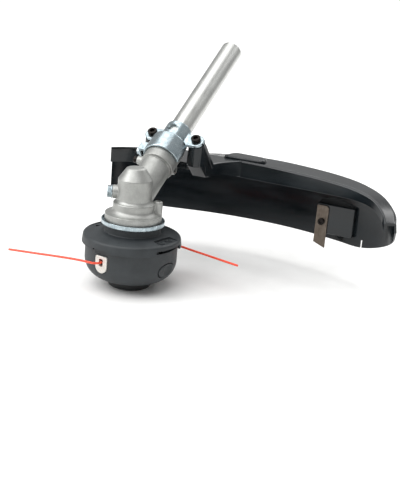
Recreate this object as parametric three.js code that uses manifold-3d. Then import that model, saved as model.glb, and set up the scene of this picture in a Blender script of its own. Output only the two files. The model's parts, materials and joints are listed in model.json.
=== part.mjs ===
// Working end of a string trimmer: shaft tube, gear case, clamp strap, guard with its line cutter,
// and the bump-feed cutting head. Millimetres. The origin is the centre of the bump knob's bottom
// face, +Z runs up the spindle, and the shaft tube rises towards +Y. Heights below are counted from
// a datum KNOB_DROP above that face, and the last lines lift the whole machine by as much.
import * as THREE from 'three';
import { mergeVertices } from 'three/addons/utils/BufferGeometryUtils.js';
import Module from 'manifold-3d';

const wasm = await Module();
wasm.setup();

// ---------- driving dimensions ----------
const GAP = 0.3;                  // clearance between neighbours that touch on the real machine
const SHAFT_RISE = 32;            // degrees, shaft tube above the ground plane
const TUBE_R = 12.7;              // 25.4 mm shaft tube
const TUBE_WALL = 1.5;
const TUBE_START = 48;            // distances along the shaft are measured from the gear cone apex
const TUBE_END = 268;
const APEX_Z = 92.5;              // where the shaft axis meets the spindle axis

const KNOB_R = 23.8;              // bump knob
const KNOB_DROP = 1.6;            // how far the knob hangs below the height datum
const BODY_R = 49.5;              // lower housing of the cutting head
const BODY_WALL = 2.4;
const BODY_BOTTOM = 8;
const BODY_TOP = 52;
const LID_R = 53.4;               // upper housing of the cutting head
const LID_SKIRT = 46.7;           // height of the skirt's lower edge
const LID_EDGE = 56.2;            // height of the lid's top edge
const LID_TOP = 67.2;             // top of the collar under the receiver washer
const COLLAR_R = 30;
const ARBOR_R = 11;
const SPOOL_R = 40;
const SPOOL_BOTTOM = 17;
const SPOOL_HEIGHT = 23.5;
const LATCH_Z = 26.5;
const EYELET_Z = 34.5;
const EYELET_TURN = -99.5;        // degrees about +Z, the second one is half a turn away
const LATCH_TURN = -10;

const WASHER_R = 33.9;            // receiver washer, a shallow cup
const WASHER_Z = 67.6;
const WASHER_WALL = 1.6;
const WASHER_RIM = 4.9;
const SPINDLE_TIP = 31;           // lower end of the threaded spindle
const THREAD_R = 5;               // M10 spindle thread
const CASE_FOOT_R = 30.4;         // gear case, largest step
const CASE_STEP_R = 22.3;
const CASE_R = 18.4;              // gear case, round tower
const CASE_TOP = 128.4;
const NECK_R = 16.5;
const FLANGE_R = 18.6;
const FLANGE_START = 54;
const NECK_END = 88;
const LOWER_BEARING = [77, 86, 16, 7.8];     // from, to, outer radius, inner radius
const UPPER_BEARING = [113.6, 120.6, 11, 4.3];
const PINION_BEARING_R = 12;
const PINION_BEARING_WIDTH = 6;
const PINION_BEARING_AT = [27, 33.6];
const GEAR_TEETH = 19;
const PINION_TEETH = 14;
const CONE_LENGTH = 23.4;         // from the apex to the back of the teeth
const FACE_WIDTH = 7.2;
const DRIVE_R = 4;                // solid drive shaft
const DRIVE_SPLINE_R = 3.6;

const STRAP_WALL = 2.6;
const EARS = [28.4, -25.6];       // clamp screws, either side of the shaft
const EAR_AT = 100;               // clamp screws, along the shaft
const EAR_THICK = 4;
const EAR_UP = 0.6;               // height of the ears' underside over the shaft axis
const BOSS_R = 9.3;
const BOSS_LENGTH = 34;
const CLAMP_SCREW_R = 2.9;

const GUARD_WALL = 2.8;
const GUARD_TOP = 120;
const BLADE_X = 158.8;
const BLADE_Y = 161.5;
const BLADE_WIDTH = 14;
const BLADE_THICK = 1.6;
const BLADE_LOW = 33;
const BLADE_HIGH = 83;
const BLADE_SCREW_Z = 64;

const LINE_R = 1.2;               // 2.4 mm trimmer line

// sides of a round part, by its size
const LARGE = 40;
const MEDIUM = 28;
const SMALL = 18;
const TINY = 12;

// ---------- solids ----------
function solidOf(geometry) {
  const bare = geometry.index ? geometry.clone() : geometry;
  for (const name of Object.keys(bare.attributes)) {
    if (name !== 'position') bare.deleteAttribute(name);
  }
  const merged = mergeVertices(bare, 1e-4);
  const mesh = new wasm.Mesh({
    numProp: 3,
    vertProperties: new Float32Array(merged.attributes.position.array),
    triVerts: new Uint32Array(merged.index.array),
  });
  return new wasm.Manifold(mesh);
}

function geometryOf(solid) {
  const mesh = solid.getMesh();
  const geometry = new THREE.BufferGeometry();
  geometry.setAttribute('position', new THREE.BufferAttribute(new Float32Array(mesh.vertProperties), 3));
  geometry.setIndex(new THREE.BufferAttribute(new Uint32Array(mesh.triVerts), 1));
  geometry.computeVertexNormals();
  return geometry;
}

const joined = (first, ...rest) => rest.reduce((total, next) => total.add(next), first);
const cut = (first, ...rest) => rest.reduce((total, next) => total.subtract(next), first);

// A closed surface through a list of equal-length closed rings, with flat ends.
// startFlat and endFlat are the end rings' corners laid flat, for filling the two ends.
function loft(rings, startFlat, endFlat) {
  const count = rings[0].length;
  const positions = rings.flat().flatMap((point) => [point.x, point.y, point.z]);
  const index = [];
  for (let ring = 0; ring < rings.length - 1; ring += 1) {
    for (let corner = 0; corner < count; corner += 1) {
      const next = (corner + 1) % count;
      const a = ring * count + corner;
      const b = ring * count + next;
      index.push(a, b, b + count, a, b + count, a + count);
    }
  }
  const last = (rings.length - 1) * count;
  for (const [a, b, c] of filling(startFlat)) index.push(c, b, a);
  for (const [a, b, c] of filling(endFlat)) index.push(last + a, last + b, last + c);
  const geometry = new THREE.BufferGeometry();
  geometry.setAttribute('position', new THREE.BufferAttribute(new Float32Array(positions), 3));
  geometry.setIndex(index);
  if (signedVolume(geometry) < 0) index.reverse();
  geometry.setIndex(index);
  return solidOf(geometry);
}

// Triangles that fill a flat outline, each turning the same way as the outline itself.
function filling(flat) {
  const turn = Math.sign(THREE.ShapeUtils.area(flat));
  return THREE.ShapeUtils.triangulateShape(flat, []).map(([a, b, c]) => {
    const same = Math.sign(THREE.ShapeUtils.area([flat[a], flat[b], flat[c]])) === turn;
    return same ? [a, b, c] : [c, b, a];
  });
}

function signedVolume(geometry) {
  const spots = geometry.attributes.position;
  const corner = (at) => new THREE.Vector3().fromBufferAttribute(spots, geometry.index.getX(at));
  let total = 0;
  for (let at = 0; at < geometry.index.count; at += 3) {
    total += corner(at).dot(corner(at + 1).cross(corner(at + 2))) / 6;
  }
  return total;
}

// A solid of revolution about +Z. A profile that leaves the axis must close on itself.
function turned(profile, segments = LARGE) {
  const points = profile.map(([radius, height]) => new THREE.Vector2(radius, height));
  const onAxis = profile[0][0] === 0;
  if (!onAxis) points.push(points[0].clone());
  const area = THREE.ShapeUtils.area(points);
  if (area < 0) points.reverse();
  const geometry = new THREE.LatheGeometry(points, segments);
  geometry.rotateX(Math.PI / 2);
  const solid = solidOf(geometry);
  if (solid.volume() > 0) return solid;
  const index = geometry.index.array;
  index.reverse();
  return solidOf(geometry);
}

const rod = (radius, from, to, segments = SMALL) =>
  turned([[0, from], [radius, from], [radius, to], [0, to]], segments);
const sleeve = (outer, inner, from, to, segments = MEDIUM) =>
  turned([[inner, from], [outer, from], [outer, to], [inner, to]], segments);

function box(from, to) {
  const geometry = new THREE.BoxGeometry(to[0] - from[0], to[1] - from[1], to[2] - from[2]);
  geometry.translate((from[0] + to[0]) / 2, (from[1] + to[1]) / 2, (from[2] + to[2]) / 2);
  return solidOf(geometry);
}

// A flat outline in X and Y, made thick from one height to another.
function plate(shape, from, to, curveSegments = 7) {
  const geometry = new THREE.ExtrudeGeometry(shape, { depth: to - from, bevelEnabled: false, curveSegments });
  geometry.translate(0, 0, from);
  return solidOf(geometry);
}

const outline = (points) => new THREE.Shape(points.map(([x, y]) => new THREE.Vector2(x, y)));

function placed(solid, matrix) {
  const geometry = geometryOf(solid);
  geometry.applyMatrix4(matrix);
  return solidOf(geometry);
}

const turnZ = (degrees) => new THREE.Matrix4().makeRotationZ(THREE.MathUtils.degToRad(degrees));
const shift = (x, y, z) => new THREE.Matrix4().makeTranslation(x, y, z);

// Shaft frame: local Z runs up the shaft from the gear cone apex, local X is the machine's X,
// and local -Y is the shaft's upper side.
const onShaft = new THREE.Matrix4().makeRotationX(-THREE.MathUtils.degToRad(90 - SHAFT_RISE));
onShaft.setPosition(0, 0, APEX_Z);
const alongShaft = (solid) => placed(solid, onShaft);

// A rod, sleeve or other turned solid whose axis lies along local X of the shaft frame.
const acrossShaft = (solid, along, up) => {
  const turn = new THREE.Matrix4().makeRotationY(Math.PI / 2);
  const seat = shift(0, -up, along);
  return placed(solid, new THREE.Matrix4().multiplyMatrices(onShaft, seat.multiply(turn)));
};

// A turned solid that stands on the shaft's upper side, local Z pointing away from it.
const aboveShaft = (solid, x, along) => {
  const turn = new THREE.Matrix4().makeRotationX(Math.PI / 2);
  const seat = shift(x, 0, along);
  return placed(solid, new THREE.Matrix4().multiplyMatrices(onShaft, seat.multiply(turn)));
};

// ---------- materials ----------
const finishes = {
  tube: { color: 0xd2d3cf, roughness: 0.35, metalness: 0.9 },
  cast: { color: 0xb9b9b3, roughness: 0.55, metalness: 0.8 },
  zinc: { color: 0xb8c4c8, roughness: 0.3, metalness: 0.95 },
  steel: { color: 0x9a9b9a, roughness: 0.3, metalness: 1 },
  black_steel: { color: 0x1c1b1a, roughness: 0.45, metalness: 0.7 },
  blade_steel: { color: 0x5b544c, roughness: 0.5, metalness: 0.8 },
  head_nylon: { color: 0x3a3f41, roughness: 0.6, metalness: 0 },
  guard_plastic: { color: 0x1a1f22, roughness: 0.25, metalness: 0 },
  rubber: { color: 0x151515, roughness: 0.8, metalness: 0 },
  bronze: { color: 0xa07a45, roughness: 0.4, metalness: 0.9 },
  line: { color: 0xff5a3c, roughness: 0.4, metalness: 0 },
};
for (const name of Object.keys(finishes)) finishes[name] = new THREE.MeshStandardMaterial(finishes[name]);

const group = new THREE.Group();
function add(name, solid, finish) {
  const mesh = new THREE.Mesh(geometryOf(solid), finishes[finish]);
  mesh.name = name;
  group.add(mesh);
}

// ---------- shaft ----------
const tubeBore = TUBE_R - TUBE_WALL;
const locatorAt = 59;             // locating screw, along the shaft
const locatorR = 2.2;
const locatorFace = 25;           // how far out its boss stands

function shaftTube() {
  const tube = alongShaft(sleeve(TUBE_R, tubeBore, TUBE_START, TUBE_END, LARGE));
  const hole = acrossShaft(rod(locatorR + GAP, -TUBE_R - 2, 0, TINY), locatorAt, 0);
  return cut(tube, hole);
}
add('shaft_tube', shaftTube(), 'tube');

const bushLength = 18;
const bushes = { lower_shaft_bush: 92, upper_shaft_bush: 226 };
for (const [name, at] of Object.entries(bushes)) {
  const bush = sleeve(tubeBore - GAP, DRIVE_R + GAP, at, at + bushLength, SMALL);
  add(name, alongShaft(bush), 'bronze');
}

// ---------- bevel gears ----------
const shaftAngle = THREE.MathUtils.degToRad(90 - SHAFT_RISE);
const toothRatio = GEAR_TEETH / PINION_TEETH;
const pinionCone = Math.atan2(Math.sin(shaftAngle), toothRatio + Math.cos(shaftAngle));
const gearCone = shaftAngle - pinionCone;
const toothModule = 2 * CONE_LENGTH * Math.sin(gearCone) / GEAR_TEETH;

// Straight teeth that all taper to the cone apex at the origin. The first tooth, or the first
// gap when startsWithGap is set, faces local +Y.
function bevelTeeth(teeth, cone, startsWithGap) {
  const tip = cone + 0.7 * toothModule / CONE_LENGTH;
  const root = cone - 1.2 * toothModule / CONE_LENGTH;
  const pitch = 2 * Math.PI / teeth;
  const first = Math.PI / 2 + (startsWithGap ? pitch / 2 : 0);
  const corners = [[-0.27, root], [-0.09, tip], [0.09, tip], [0.27, root]];
  const ringAt = (length) => {
    const ring = [];
    for (let tooth = 0; tooth < teeth; tooth += 1) {
      for (const [share, angle] of corners) {
        const around = first + pitch * (tooth + share);
        const radius = length * Math.sin(angle);
        const height = length * Math.cos(angle);
        ring.push(new THREE.Vector3(radius * Math.cos(around), radius * Math.sin(around), height));
      }
    }
    return ring;
  };
  const rings = [ringAt(CONE_LENGTH - FACE_WIDTH), ringAt(CONE_LENGTH)];
  const flats = rings.map((ring) => ring.map((point) => new THREE.Vector2(point.x, point.y)));
  return loft(rings, flats[0], flats[1]);
}

const gearSeatR = 5.5;
const gearBack = CONE_LENGTH * Math.cos(gearCone);
const gearTop = UPPER_BEARING[0] - GAP - APEX_Z;

function outputGear() {
  const hub = rod(9.2, gearBack - 1.5, gearTop);
  const bore = rod(gearSeatR + GAP, 0, 60);
  return placed(cut(joined(bevelTeeth(GEAR_TEETH, gearCone, false), hub), bore), shift(0, 0, APEX_Z));
}
add('output_gear', outputGear(), 'steel');

const journalR = 5.7;
const pinionEnd = 44;
const socketStart = 29;

function pinionGear() {
  const back = CONE_LENGTH * Math.cos(pinionCone);
  const shoulder = rod(7.4, back - 1, PINION_BEARING_AT[0] - GAP);
  const journal = rod(journalR, back - 4, pinionEnd);
  const socket = rod(DRIVE_SPLINE_R + GAP, socketStart, pinionEnd + 5, TINY);
  // the contact side of the pinion is the shaft's upper side, local -Y
  const teeth = placed(bevelTeeth(PINION_TEETH, pinionCone, true), turnZ(180));
  return alongShaft(cut(joined(teeth, shoulder, journal), socket));
}
add('pinion_gear', pinionGear(), 'steel');

function driveShaft() {
  const end = TUBE_END - 4;
  const profile = [[0, socketStart + GAP], [DRIVE_SPLINE_R, socketStart + GAP], [DRIVE_SPLINE_R, 50]];
  profile.push([DRIVE_R, 51], [DRIVE_R, end], [0, end]);
  return alongShaft(turned(profile, TINY));
}
add('drive_shaft', driveShaft(), 'steel');

// ---------- bearings, circlips and seal ----------
// One solid per bearing: both races, with a shallow shield recess on each side.
function bearing(from, to, outer, inner) {
  const race = (outer - inner) * 0.22;
  const recess = 0.6;
  return turned([
    [inner, from], [inner + race, from], [inner + race, from + recess], [outer - race, from + recess],
    [outer - race, from], [outer, from], [outer, to], [outer - race, to],
    [outer - race, to - recess], [inner + race, to - recess], [inner + race, to], [inner, to],
  ], SMALL);
}
const pinionBearingBore = journalR + GAP;
const pinionBearings = ['front_pinion_bearing', 'rear_pinion_bearing'];
pinionBearings.forEach((name, at) => {
  const from = PINION_BEARING_AT[at];
  const solid = bearing(from, from + PINION_BEARING_WIDTH, PINION_BEARING_R, pinionBearingBore);
  add(name, alongShaft(solid), 'steel');
});
add('upper_spindle_bearing', bearing(...UPPER_BEARING), 'steel');
add('lower_spindle_bearing', bearing(...LOWER_BEARING), 'steel');

// A circlip is a ring with a gap and two pierced ears beside the gap.
function circlip(outer, from, thick) {
  const inner = outer - 2;
  const earX = 3;
  const ear = (x) => placed(rod(2, from, from + thick, 8), shift(x, inner - 0.5, 0));
  const ring = joined(sleeve(outer, inner, from, from + thick, SMALL), ear(earX), ear(-earX));
  const opening = box([-1.4, 0, from - 1], [1.4, outer + 1, from + thick + 1]);
  const hole = (x) => placed(rod(0.8, from - 1, from + thick + 1, 6), shift(x, inner - 0.5, 0));
  return cut(ring, opening, hole(earX), hole(-earX));
}
const pinionClipAt = PINION_BEARING_AT[1] + PINION_BEARING_WIDTH + GAP;
add('pinion_circlip', alongShaft(circlip(PINION_BEARING_R, pinionClipAt, 1)), 'black_steel');
const caseClipAt = LOWER_BEARING[0] - GAP - 1.2;
add('case_circlip', circlip(LOWER_BEARING[2], caseClipAt, 1.2), 'black_steel');

const sealTop = caseClipAt - GAP;
const sealR = 15.7;
function oilSeal() {
  return turned([
    [8.4, sealTop - 3.4], [sealR, sealTop - 3.4], [sealR, sealTop], [13, sealTop],
    [13, sealTop - 1.6], [9.6, sealTop - 1.6], [9, sealTop - 0.6], [8.4, sealTop - 0.6],
  ], SMALL);
}
add('oil_seal', oilSeal(), 'rubber');

// ---------- gear case ----------
const caseFoot = WASHER_Z + WASHER_WALL + 1.4;
const bearingBore = PINION_BEARING_R + GAP;
const neckBore = TUBE_R + GAP;
const plugTurn = 208;
const plugZ = 101;
const plugBossEnd = CASE_R + 5;
const plugThreadR = 4;
const lockPinTurn = 28;
const lockPinR = 25.2;
const splitWidth = 2.4;
const lugAt = 78;
const lugDown = 24.5;
const pinchR = 2.6;
const lugHalf = 7;                // half the width of the pinch lugs, across the split

function caseTower() {
  const flare = [];
  for (let step = 0; step <= 4; step += 1) {
    const angle = (step / 4) * Math.PI / 2;
    const radius = CASE_FOOT_R - (CASE_FOOT_R - CASE_STEP_R) * Math.sin(angle);
    flare.push([radius, 84.7 - 5.5 * Math.cos(angle)]);
  }
  return turned([
    [0, caseFoot], [CASE_FOOT_R, caseFoot], ...flare, [CASE_STEP_R, 90], [CASE_STEP_R - 0.9, 90.9],
    [CASE_R + 1.2, 91.4], [CASE_R, 94.4], [CASE_R, 116],
    [9.8, CASE_TOP - 0.8], [8.4, CASE_TOP], [0, CASE_TOP],
  ], LARGE);
}

function caseHollow() {
  const [, to, outer] = LOWER_BEARING;
  const cavityR = 15.1;
  const cavityTop = UPPER_BEARING[0] - GAP;
  const upperSeatR = UPPER_BEARING[2] + GAP;
  const upperSeatTop = UPPER_BEARING[1] + GAP;
  return turned([
    [0, caseFoot - 5], [outer + GAP, caseFoot - 5], [outer + GAP, to + GAP], [cavityR, to + GAP],
    [cavityR, cavityTop], [upperSeatR, cavityTop], [upperSeatR, upperSeatTop], [0, upperSeatTop],
  ], MEDIUM);
}

function neckOutside() {
  const chamfer = 1;
  return alongShaft(turned([
    [0, 0], [NECK_R, 0], [NECK_R, FLANGE_START - 1.5], [NECK_R - 0.7, FLANGE_START - 1],
    [NECK_R - 0.7, FLANGE_START], [FLANGE_R, FLANGE_START + 0.4], [FLANGE_R, NECK_END - chamfer],
    [FLANGE_R - chamfer, NECK_END], [0, NECK_END],
  ], LARGE));
}

function neckHollow() {
  const pinionBore = PINION_BEARING_R - 0.4;
  const bearingSeat = PINION_BEARING_AT[0] - GAP;
  const tubeSeat = TUBE_START - GAP;
  return alongShaft(turned([
    [0, 8], [pinionBore, 8], [pinionBore, bearingSeat], [bearingBore, bearingSeat],
    [bearingBore, tubeSeat], [neckBore, tubeSeat], [neckBore, NECK_END + 1], [0, NECK_END + 1],
  ], LARGE));
}

// Pinch lugs under the neck: one block with a rounded lower end, later split down the middle.
function pinchLugs() {
  const round = acrossShaft(rod(6, -lugHalf, lugHalf), lugAt, -lugDown);
  const web = alongShaft(box([-lugHalf, 10, lugAt - 6], [lugHalf, lugDown, lugAt + 7]));
  return joined(round, web);
}

function gearCase() {
  const plugBoss = placed(rod(7.2, 0, plugBossEnd), placeRadial(plugTurn, plugZ));
  const pinBoss = placed(rod(5.2, 79.2, 96), shift(...polar(lockPinR, lockPinTurn), 0));
  const pinHole = placed(rod(2, 60, 100, 8), shift(...polar(lockPinR + 1, lockPinTurn), 0));
  const locatorBoss = acrossShaft(rod(5, -locatorFace, -10), locatorAt, 0);
  const body = joined(caseTower(), neckOutside(), plugBoss, pinBoss, locatorBoss, pinchLugs());
  const plugHole = placed(rod(plugThreadR + GAP, 0, plugBossEnd + 5, TINY), placeRadial(plugTurn, plugZ));
  const split = alongShaft(box([-splitWidth / 2, 0, FLANGE_START + 8], [splitWidth / 2, 40, NECK_END + 1]));
  const pinchHole = acrossShaft(rod(pinchR + GAP, -10, 10, TINY), lugAt, -lugDown);
  const locatorHole = acrossShaft(rod(locatorR + GAP, -30, 0, TINY), locatorAt, 0);
  return cut(body, caseHollow(), neckHollow(), split, plugHole, pinHole, pinchHole, locatorHole);
}

function polar(radius, degrees) {
  const angle = THREE.MathUtils.degToRad(degrees);
  return [radius * Math.cos(angle), radius * Math.sin(angle)];
}

// Local Z points out from the spindle axis at this turn and height, tipped down by tip degrees.
function placeRadial(degrees, height, tip = 0) {
  const lean = new THREE.Matrix4().makeRotationY(THREE.MathUtils.degToRad(90 + tip));
  return shift(0, 0, height).multiply(turnZ(degrees)).multiply(lean);
}
add('gear_case', gearCase(), 'cast');

// ---------- fasteners ----------
const hexagon = (radius) => outline([0, 1, 2, 3, 4, 5].map((side) => polar(radius, 60 * side + 30)));

// A hex-headed screw, its tip down local -Z and the underside of its head at zero.
function hexScrew(shankR, length, headR, headHeight) {
  const flange = rod(headR * 1.08, 0, 1);
  return joined(rod(shankR, -length, 0.5, TINY), flange, plate(hexagon(headR), 0.5, headHeight));
}

// A socket-headed cap screw in the same attitude.
function capScrew(shankR, length, headR, headHeight) {
  const edge = 0.6;
  const head = turned([
    [0, 0], [headR, 0], [headR, headHeight - edge], [headR - edge, headHeight], [0, headHeight],
  ], SMALL);
  const socket = plate(hexagon(headR * 0.55), headHeight * 0.45, headHeight + 1);
  return cut(joined(rod(shankR, -length, 0.5, TINY), head), socket);
}

function greasePlug() {
  const plug = hexScrew(plugThreadR, 8, 6.6, 5.2);
  return placed(plug, placeRadial(plugTurn, plugZ).multiply(shift(0, 0, plugBossEnd + GAP)));
}
add('grease_plug', greasePlug(), 'zinc');

const faceLeft = new THREE.Matrix4().makeRotationZ(Math.PI);
const headLeft = (screw, x, along, up) => {
  const tipUp = placed(placed(screw, new THREE.Matrix4().makeRotationX(Math.PI)), faceLeft);
  return acrossShaft(placed(tipUp, shift(0, 0, x)), along, up);
};
const locatingScrew = headLeft(capScrew(locatorR, 14, 3.8, 4.5), -locatorFace - GAP, locatorAt, 0);
add('locating_screw', locatingScrew, 'black_steel');
const pinchBolt = headLeft(capScrew(pinchR, 12.5, 4.3, 4.6), -lugHalf - GAP, lugAt, -lugDown);
add('pinch_bolt', pinchBolt, 'black_steel');

// ---------- clamp strap ----------
const strapFrom = 65.5;           // the wide band over the neck flange starts here along the shaft
const strapHigh = [NECK_END + 3.5, NECK_END + 27];    // narrow band over the shaft tube
const strapR = FLANGE_R + GAP;
const strapSmallR = TUBE_R + GAP;
const tabX = -27;
const tabAt = 74;
const tabBoltR = 2.5;

function clampStrap() {
  const wideEnd = NECK_END + GAP;
  const skin = turned([
    [strapR, strapFrom], [strapR, wideEnd], [strapSmallR, strapHigh[0]], [strapSmallR, strapHigh[1]],
    [strapSmallR + STRAP_WALL, strapHigh[1]], [strapSmallR + STRAP_WALL, strapHigh[0] + 1.5],
    [strapR + STRAP_WALL, wideEnd + 1.5], [strapR + STRAP_WALL, strapFrom],
  ], LARGE);
  const lowerHalf = box([-60, -EAR_UP, 50], [60, 60, 150]);
  const window = new THREE.Shape().absellipse(0, 0, 6.5, 5.2, 0, Math.PI * 2);
  const windowHole = placed(plate(window, 5, 40, 8), shift(0, 0, EAR_AT + 4).multiply(
    new THREE.Matrix4().makeRotationX(Math.PI / 2)));
  const ear = (outer) => {
    const inner = Math.sign(outer) * 15;
    const round = placed(rod(9, 0, EAR_THICK), shift(outer, EAR_AT, 0));
    const web = box([Math.min(inner, outer), EAR_AT - 9, 0], [Math.max(inner, outer), EAR_AT + 9, EAR_THICK]);
    const hole = placed(rod(CLAMP_SCREW_R + GAP, -1, EAR_THICK + 1, TINY), shift(outer, EAR_AT, 0));
    return cut(joined(round, web), hole);
  };
  const lying = new THREE.Matrix4().makeRotationX(Math.PI / 2);
  const ears = placed(joined(...EARS.map(ear)), shift(0, -EAR_UP, 0).multiply(lying));
  const tab = joined(
    box([tabX - 1.5, -9, tabAt - 6], [tabX + 1.5, 5, tabAt + 6]),
    box([tabX - 1.5, -9, tabAt - 6], [-17, -5, tabAt + 6]),
  );
  const inside = joined(rod(strapR, 40, wideEnd, LARGE), rod(strapSmallR, 40, 160, LARGE));
  const sideways = new THREE.Matrix4().makeRotationY(Math.PI / 2);
  const tabHole = placed(rod(tabBoltR + GAP, -40, 0, TINY), shift(0, 0, tabAt).multiply(sideways));
  const band = cut(skin, lowerHalf, windowHole);
  return alongShaft(cut(joined(band, ears, tab), inside, tabHole));
}
add('clamp_strap', clampStrap(), 'zinc');

const clampScrew = capScrew(CLAMP_SCREW_R, 26, 5, 6);
['clamp_screw_right', 'clamp_screw_left'].forEach((name, at) => {
  const seat = aboveShaft(placed(clampScrew, shift(0, 0, EAR_UP + EAR_THICK + GAP)), EARS[at], EAR_AT);
  add(name, seat, 'black_steel');
});
const tabBolt = joined(
  rod(tabBoltR, tabX - 8, tabX + 2.5, TINY),
  rod(4, tabX + 1.5 + GAP, tabX + 4),
);
add('strap_tab_bolt', acrossShaft(tabBolt, tabAt, 0), 'black_steel');
const tabNut = cut(
  plate(hexagon(4.6), tabX - 5.3, tabX - 1.5 - GAP),
  rod(tabBoltR + GAP, tabX - 8, tabX, TINY),
);
add('strap_tab_nut', acrossShaft(tabNut, tabAt, 0), 'zinc');

// ---------- spindle and receiver washer ----------
function spindle() {
  const shoulder = WASHER_Z + WASHER_WALL + GAP;
  const lowerR = LOWER_BEARING[3] - GAP;
  const upperR = UPPER_BEARING[3] - GAP;
  return turned([
    [0, SPINDLE_TIP], [THREAD_R - 0.8, SPINDLE_TIP], [THREAD_R, SPINDLE_TIP + 1], [THREAD_R, shoulder],
    [lowerR, shoulder], [lowerR, LOWER_BEARING[1]], [6.6, LOWER_BEARING[1]], [6.6, 90], [gearSeatR, 98],
    [gearSeatR, UPPER_BEARING[0] - 2 * GAP], [upperR, UPPER_BEARING[0] - 2 * GAP],
    [upperR, UPPER_BEARING[1] - 0.4], [0, UPPER_BEARING[1] - 0.4],
  ], SMALL);
}
add('spindle', spindle(), 'steel');

function receiverWasher() {
  const inner = THREAD_R + GAP;
  const floor = WASHER_Z + WASHER_WALL;
  const rim = WASHER_Z + WASHER_RIM;
  return turned([
    [inner, WASHER_Z], [WASHER_R - 1, WASHER_Z], [WASHER_R, WASHER_Z + 1], [WASHER_R, rim],
    [WASHER_R - 1.5, rim], [WASHER_R - 1.5, floor], [inner, floor],
  ], LARGE);
}
add('receiver_washer', receiverWasher(), 'zinc');

// ---------- cutting head ----------
const insertR = 7.6;
const insertTop = 60;
const arborBottom = 34;
const springSeat = 31.7;
const springCeiling = LID_TOP - 3.2;
const skirtBore = LID_R - 3;
const slots = [0, 180];           // two line eyelets and two latches, opposite each other

function headLid() {
  const shell = turned([
    [THREAD_R + GAP, LID_TOP], [COLLAR_R, LID_TOP], [COLLAR_R, 60.4], [COLLAR_R + 1.2, 59.4], [34.5, 58.8],
    [LID_R - 1.6, LID_EDGE], [LID_R - 0.4, LID_EDGE - 1], [LID_R, LID_SKIRT], [skirtBore, LID_SKIRT],
    [skirtBore, 53], [27, 54.5], [26, springCeiling], [ARBOR_R, springCeiling], [ARBOR_R, arborBottom],
    [THREAD_R + GAP, arborBottom],
  ], LARGE);
  const nutPocket = turnedHex(insertR + GAP, arborBottom - 1, insertTop);
  const notches = slots.map((turn) => placed(
    box([LID_R - 9, -11, LID_SKIRT - 1], [LID_R + 5, 11, 50.6]), turnZ(LATCH_TURN + turn)));
  const marks = slots.map((turn) => placed(
    plate(outline([[37, -11], [49, -13], [49, 13], [37, 11]]), 57, 64), turnZ(LATCH_TURN + turn)));
  return cut(shell, nutPocket, ...notches, ...marks);
}

function turnedHex(radius, from, to) {
  return plate(hexagon(radius), from, to);
}

function arborInsert() {
  return cut(turnedHex(insertR, arborBottom + 1, insertTop - GAP), rod(THREAD_R + GAP, 0, 80));
}
add('head_lid', headLid(), 'head_nylon');
add('arbor_insert', arborInsert(), 'steel');

// The bowl's outside: an upright wall and a quarter-ellipse that turns in to the knob's opening.
const bowlStart = 30;
const bowlMouth = KNOB_R + 1.1;
function bowlCurve(inset) {
  const points = [];
  for (let step = 0; step <= 5; step += 1) {
    const angle = (step / 5) * Math.PI / 2;
    const across = (BODY_R - 27 - inset) * Math.cos(angle);
    const down = (bowlStart - BODY_BOTTOM - inset) * Math.sin(angle);
    points.push([27 + across, bowlStart - down]);
  }
  return points;
}

const eyeletWidth = 15;
const eyeletLow = EYELET_Z - 11.5;
const eyeletHigh = EYELET_Z + 7;
function eyeletShape(grow) {
  const half = eyeletWidth / 2 + grow;
  const shape = new THREE.Shape();
  shape.moveTo(-half, eyeletHigh + grow);
  shape.lineTo(-half, eyeletLow + eyeletWidth / 2);
  shape.absarc(0, eyeletLow + eyeletWidth / 2, half, Math.PI, 2 * Math.PI, false);
  shape.lineTo(half, eyeletHigh + grow);
  return shape;
}

// Stands an outline drawn in (across, up) on the outside of the head, facing out at this turn.
const facing = (turn) => turnZ(turn).multiply(new THREE.Matrix4().makeBasis(
  new THREE.Vector3(0, 1, 0), new THREE.Vector3(0, 0, 1), new THREE.Vector3(1, 0, 0)));

function latchShape(grow) {
  return new THREE.Shape().absellipse(0, 0, 12.5 + grow, 7.6 + grow, 0, Math.PI * 2);
}
const latchTip = 10;              // degrees that the latch face looks down, as the bowl does there
const latchReach = BODY_R / Math.cos(THREE.MathUtils.degToRad(latchTip));
const latchAxisZ = LATCH_Z + BODY_R * Math.tan(THREE.MathUtils.degToRad(latchTip));
const atLatch = (turn) => placeRadial(LATCH_TURN + turn, latchAxisZ, latchTip);

function headBody() {
  const inner = bowlCurve(BODY_WALL).reverse();
  const shell = turned([
    [BODY_R, BODY_TOP], ...bowlCurve(0), [bowlMouth, BODY_BOTTOM], [bowlMouth, BODY_BOTTOM + BODY_WALL],
    ...inner, [BODY_R - BODY_WALL, BODY_TOP],
  ], LARGE);
  const rest = sleeve(30, 27.2, BODY_BOTTOM + 1, SPOOL_BOTTOM - GAP);
  const eyeletHoles = slots.map((turn) => placed(
    plate(eyeletShape(GAP), 30, 60), facing(EYELET_TURN + turn)));
  const latchHoles = slots.map((turn) => placed(
    plate(latchShape(0.5), 35, 60), atLatch(turn)));
  return cut(joined(shell, rest), ...eyeletHoles, ...latchHoles);
}
add('head_body', headBody(), 'head_nylon');

// U-shaped sintered guide that the line runs out through.
function eyelet(turn) {
  const shape = eyeletShape(0);
  const hole = new THREE.Path();
  hole.absellipse(0, EYELET_Z, 2.6, 4.2, 0, Math.PI * 2, true);
  shape.holes.push(hole);
  return placed(plate(shape, BODY_R - 5.4, BODY_R + 0.7, 6), facing(EYELET_TURN + turn));
}
add('eyelet_front', eyelet(0), 'cast');
add('eyelet_rear', eyelet(180), 'cast');

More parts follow.
